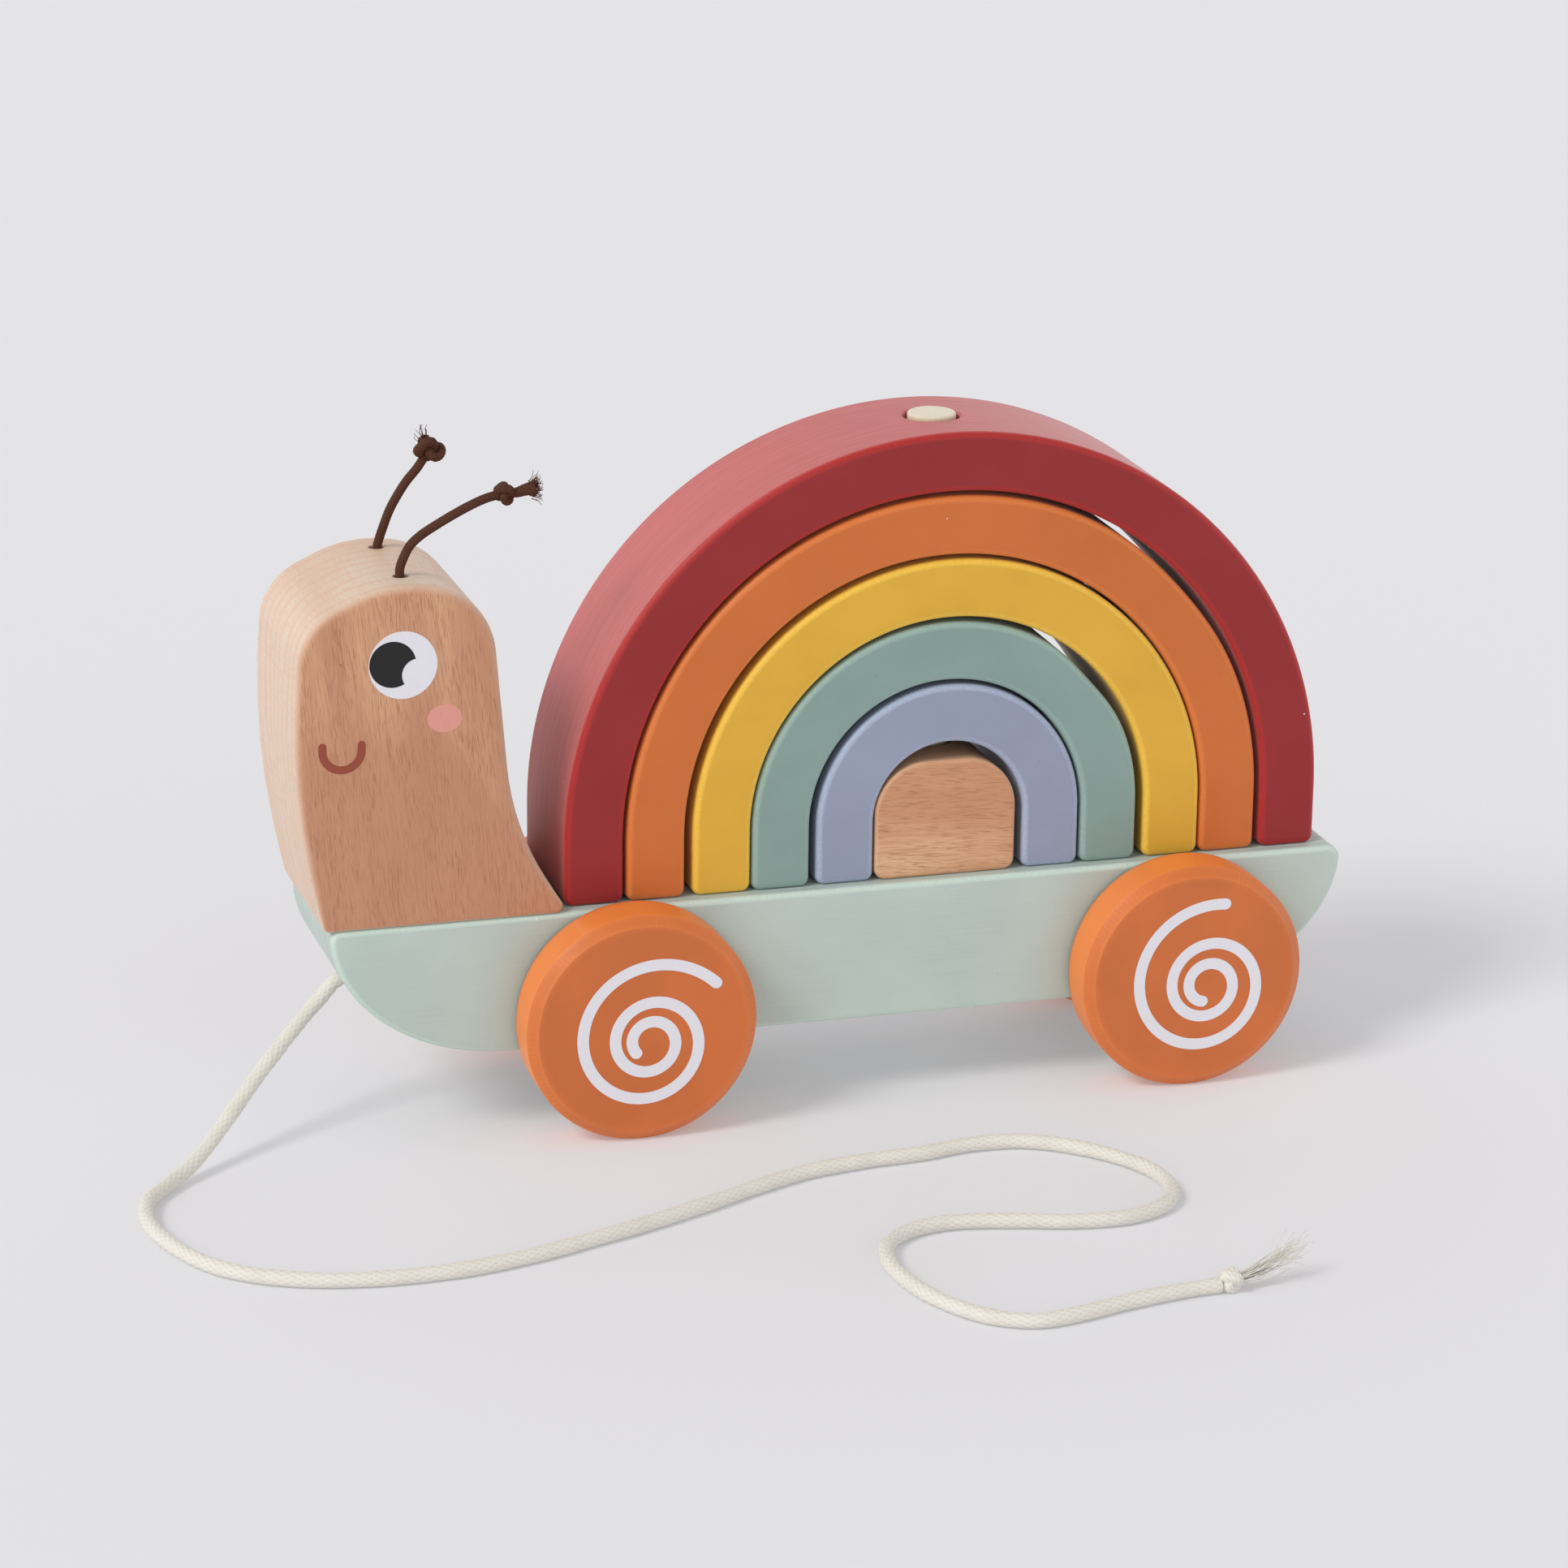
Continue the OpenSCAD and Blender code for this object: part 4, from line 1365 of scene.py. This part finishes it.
@dataclass
class Arch:
    """One painted arch: a half ring on two short legs, with soft edges and a hole for the peg on top.

    flat_deg, flat_depth and flat_span describe where sanding took a little off the outer curve: the outer radius
    loses depth exp(-((angle - place) / span)^2).
    """

    node: str
    finish: Finish
    slot: str
    wall: float = 12.75 * MM
    edge: float = 1.4 * MM
    foot: float = 1.9 * MM
    hole: float = 6.0 * MM
    flat_deg: float = 42.0
    flat_depth: float = 0.0
    flat_span: float = 12.0

    def make(self, peg_x: float) -> None:
        """Makes the arch.

        Args:
            peg_x: X of the peg, where the hole is.
        """
        low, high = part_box(self.node)
        middle, outer = (low.x + high.x) / 2, (high.x - low.x) / 2
        inner, spring = outer - self.wall, high.z - outer
        angle = np.radians(np.linspace(0, 180, 121))
        dent = self.flat_depth * np.exp(-((np.degrees(angle) - self.flat_deg) / self.flat_span) ** 2)
        over = outer - dent
        corners = [(middle + r * math.cos(t), spring + r * math.sin(t), 0.0) for r, t in zip(over, angle)]
        corners += [(middle - outer, low.z, self.foot), (middle - inner, low.z, self.foot)]
        corners += [(middle + inner * math.cos(t), spring + inner * math.sin(t), 0.0) for t in angle[::-1]]
        corners += [(middle + inner, low.z, self.foot), (middle + outer, low.z, self.foot)]
        mouths = [
            Mouth((peg_x, high.z), 0.0, self.hole, 1, -1),
            Mouth((peg_x, spring + inner), 0.0, self.hole, 1, 1),
        ]
        skin = Board(rounded(corners), high.y - low.y, self.edge, mouths).skin(through=((0, 1),))
        put(skin.build(f"painted_{self.node}", self.finish), self.node, self.slot, self.node)


@dataclass
class Shell:
    """The snail's shell: a beech block and five arches that stack on the peg."""

    block_shoulder: float = 11.3 * MM
    block_foot: float = 2.6 * MM
    block_edge: float = 0.9 * MM
    arches: tuple[Arch, ...] = (
        Arch("arch_lavender", Finish.LAVENDER, "lavender_paint"),
        Arch("arch_green", Finish.GREEN, "green_paint", flat_depth=0.9 * MM),
        Arch("arch_yellow", Finish.YELLOW, "yellow_paint"),
        Arch("arch_orange", Finish.ORANGE, "orange_paint", flat_depth=0.65 * MM),
        Arch("arch_red", Finish.RED, "red_paint"),
    )

    def make(self) -> None:
        """Makes the block and the arches."""
        peg_low, peg_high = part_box("peg")
        peg_x = (peg_low.x + peg_high.x) / 2
        low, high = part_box("centre_block")
        outline = rounded([
            (low.x, low.z, self.block_foot), (high.x, low.z, self.block_foot),
            (high.x, high.z, self.block_shoulder), (low.x, high.z, self.block_shoulder),
        ])
        mouths = [Mouth((peg_x, high.z), 0.0, 6.0 * MM, 1, -1), Mouth((peg_x, low.z), 0.0, 6.0 * MM, 1, 1)]
        skin = Board(outline, high.y - low.y, self.block_edge, mouths, row_step=1.2 * MM).skin(through=((0, 1),))
        put(skin.build("beech_block", Finish.BLOCK_WOOD), "centre_block", "beech", "centre_block")
        for arch in self.arches:
            arch.make(peg_x)


@dataclass
class Wheel:
    """A turned wheel with a chamfered rim, a blind hole for its axle and a printed spiral on its outer face.

    The spiral is logarithmic: its radius is first * shrink^(turns), about a point off the wheel's centre.
    """

    node: str
    body: str
    start_deg: float
    offset_mm: tuple[float, float]
    rim: float = 2.2 * MM
    rim_depth: float = 1.8 * MM
    axle: float = 3.0 * MM
    hole: float = 7.5 * MM
    first: float = 18.7 * MM
    shrink: float = 0.52
    sweep_deg: float = 895.0
    stroke: float = 2.5 * MM

    def make(self) -> None:
        """Makes the wheel and its print."""
        low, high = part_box(self.node)
        side = -1 if high.y < 0 else 1
        inner, outer = (high.y, low.y) if side < 0 else (low.y, high.y)
        middle = ((low.x + high.x) / 2, inner, (low.z + high.z) / 2)
        radius, depth = (high.x - low.x) / 2, abs(outer - inner)
        slope = math.atan2(self.rim_depth, self.rim)
        face, start, soft = radius - self.rim, depth - self.rim_depth, 0.24 * MM
        t = np.linspace(0, slope, 5)
        fade = np.linspace(0, math.pi / 2 - slope, 5)
        lip = soft * math.tan(slope / 2)
        back = soft * math.tan((math.pi / 2 - slope) / 2)
        first = np.stack([face - lip + soft * np.sin(t), depth - soft + soft * np.cos(t)], -1)
        bend = slope + fade
        second = np.stack([radius - soft + soft * np.sin(bend), start - back + soft * np.cos(bend)], -1)
        profile = [(9 * MM, depth, 0, 0, 0), (16 * MM, depth, 0, 0, 0), (face - 1.2 * MM, depth, 0, 0, 0)]
        profile += [(r, h, 1, k / 4, 0) for k, (r, h) in enumerate(first)]
        profile += [(face + self.rim * f, depth - self.rim_depth * f, 0, 1, 0) for f in (0.3, 0.5, 0.7)]
        profile += [(r, h, 1, 1 - k / 4, k / 4) for k, (r, h) in enumerate(second)]
        profile += [(radius, depth * f, 0, 0, 1) for f in (0.72, 0.5, 0.3, 0.12)]
        profile += [
            (radius - 0.10 * MM, 0.28 * MM, 1, 0, 1), (radius - 0.28 * MM, 0.10 * MM, 1, 0, 1),
            (radius - 0.60 * MM, 0.0, 0, 0, 1), (radius - 2.0 * MM, 0.0, 0, 0, 0), (self.axle + 1 * MM, 0.0, 0, 0, 0),
            (self.axle, 0.0, 0, 0, 0), (self.axle, self.hole, 0, 0, 0),
        ]
        table = np.array(profile, float)
        grid = turned(table[:, :2], middle, 1, float(side))
        phi = np.linspace(0, 2 * math.pi, grid.shape[1], endpoint=False)
        skin = Skin()
        # The edge, chamfer and side fields mark where the paint is painted lighter for the key light and its
        # highlight.
        skin.tube(
            grid, radius=table[:, :1], edge=table[:, 2:3], chamfer=table[:, 3:4], side=table[:, 4:5],
            cosine=np.cos(phi)[None], sine=np.sin(phi)[None])
        put(skin.build(f"turned_{self.node}", Finish.WHEEL), self.body, "orange_paint", self.node)
        angle = np.radians(np.linspace(0, self.sweep_deg, 420))
        reach = self.first * self.shrink ** (angle / (2 * math.pi))
        way = angle + math.radians(self.start_deg)
        x = -side * (self.offset_mm[0] * MM + reach * np.cos(way))
        line = np.stack([middle[0] + x, middle[2] + self.offset_mm[1] * MM + reach * np.sin(way)], -1)
        ink = Ink(outer, side).stroke(line, self.stroke / 2)
        put(ink.build(f"spiral_{self.node}", Finish.WHEEL_WHITE, False), self.body, "print_white")


@dataclass
class Studio:
    """A pale floor, soft light from the upper left and the camera."""

    eye: Point = (-0.3200, -1.0300, 0.4154)
    look: Point = (0.2780, 0.9096, -0.3088)
    roll_deg: float = 0.728
    lens: float = 121.07
    key_from: Point = (-0.97, -0.43, 1.0)
    key_strength: float = 1.38
    key_soft_deg: float = 20.0
    zenith: Colour = (0.460, 0.461, 0.466)
    horizon: Colour = (1.660, 1.662, 1.680)

    def place_camera(self) -> None:
        """Places the camera: it looks along look, turned about that line by the roll."""
        ahead = Vector(self.look).normalized()
        right = ahead.cross(Vector((0, 0, 1))).normalized()
        up = right.cross(ahead)
        roll = math.radians(self.roll_deg)
        right, up = right * math.cos(roll) + up * math.sin(roll), up * math.cos(roll) - right * math.sin(roll)
        data = bpy.data.cameras.new("studio_camera")
        data.lens = self.lens
        data.sensor_width = 36.0
        data.clip_end = 50.0
        camera = bpy.data.objects.new("studio_camera", data)
        turn = Matrix((right, up, -ahead)).transposed().to_4x4()
        camera.matrix_world = Matrix.Translation(self.eye) @ turn
        bpy.context.scene.collection.objects.link(camera)
        bpy.context.scene.camera = camera
        LOG.info("camera at %s", tuple(round(v, 3) for v in self.eye))

    def _room(self) -> bpy.types.World:
        """A room that is brighter low down: with z the height of a direction, the horizon's part is (1 - z)^2."""
        world = bpy.data.worlds.new("studio_room")
        bench = Bench(world)
        direction = bench.node("ShaderNodeTexCoord", out="Generated")
        low = 1.0 - bench.node("ShaderNodeSeparateXYZ", inputs={0: direction}, out="Z").above_zero()
        sky = bench.node("ShaderNodeBackground", inputs={
            "Color": bench.blend(low * low, self.zenith, self.horizon), "Strength": 1.0})
        bench.join(sky, "ShaderNodeOutputWorld")
        LOG.info("room light: %s", world.name)
        return world

    def light(self) -> None:
        """Lays the floor, lights the room evenly and adds the soft key light."""
        scene = bpy.context.scene
        scene.view_settings.view_transform = "Standard"
        scene.world = self._room()
        key = bpy.data.lights.new("key_light", "SUN")
        key.energy = self.key_strength
        key.angle = math.radians(self.key_soft_deg)
        key.color = (1.0, 0.985, 0.96)
        lamp = bpy.data.objects.new("key_light", key)
        lamp.rotation_euler = Vector(self.key_from).to_track_quat("Z", "Y").to_euler()
        scene.collection.objects.link(lamp)
        skin = Skin()
        reach = np.linspace(-6, 6, 13)
        x, y = np.meshgrid(reach, reach, indexing="ij")
        skin.weave(skin.add(np.stack([x, y, np.zeros_like(x)], -1)))
        floor = skin.build("studio_floor", Finish.PAPER)
        LOG.info("floor, key light and room light are set")


def main() -> None:
    """Builds the studio's camera, the cords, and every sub-assembly and the light."""
    logging.basicConfig(level=logging.INFO, format="%(name)s: %(message)s")
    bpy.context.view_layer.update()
    studio = Studio()
    studio.place_camera()
    PullCord().make()
    Antenna(
        "left", -11.5, (
            (-91.6, -1), (-91.6, 1.5), (-90.7, 4), (-89.3, 6.4), (-87, 8.4), (-84, 10.2), (-80.5, 12.1),
            (-77, 13.8), (-73.5, 15.2), (-70, 16),
        ), 0.62 * MM, 0.95 * MM, (1.0, 0.0, 0.10), 6.4 * MM, 1.15 * MM, 90, 2.6 * MM,
    ).make()
    Antenna(
        "right", 11.5, (
            (-91.2, -1), (-91, 1), (-90, 4), (-88.5, 7.8), (-86.7, 11), (-84.8, 13.8), (-82.4, 16.6), (-80.2, 20),
        ), 0.85 * MM, 1.15 * MM, (-0.45, -0.1, 1.0), 2.8 * MM, 0.9 * MM, 12, 3.4 * MM,
    ).make()
    Chassis().make()
    Head().make()
    Shell().make()
    front, rear = (1.31, -2.92), (2.89, -1.94)
    for node, body, start, offset in (
        ("wheel_front_left", "front_wheels", 40.0, front), ("wheel_front_right", "front_wheels", 40.0, front),
        ("wheel_rear_left", "rear_wheels", 79.0, rear), ("wheel_rear_right", "rear_wheels", 79.0, rear),
    ):
        Wheel(node, body, start, offset).make()
    studio.light()


if __name__ == "__main__":
    main()
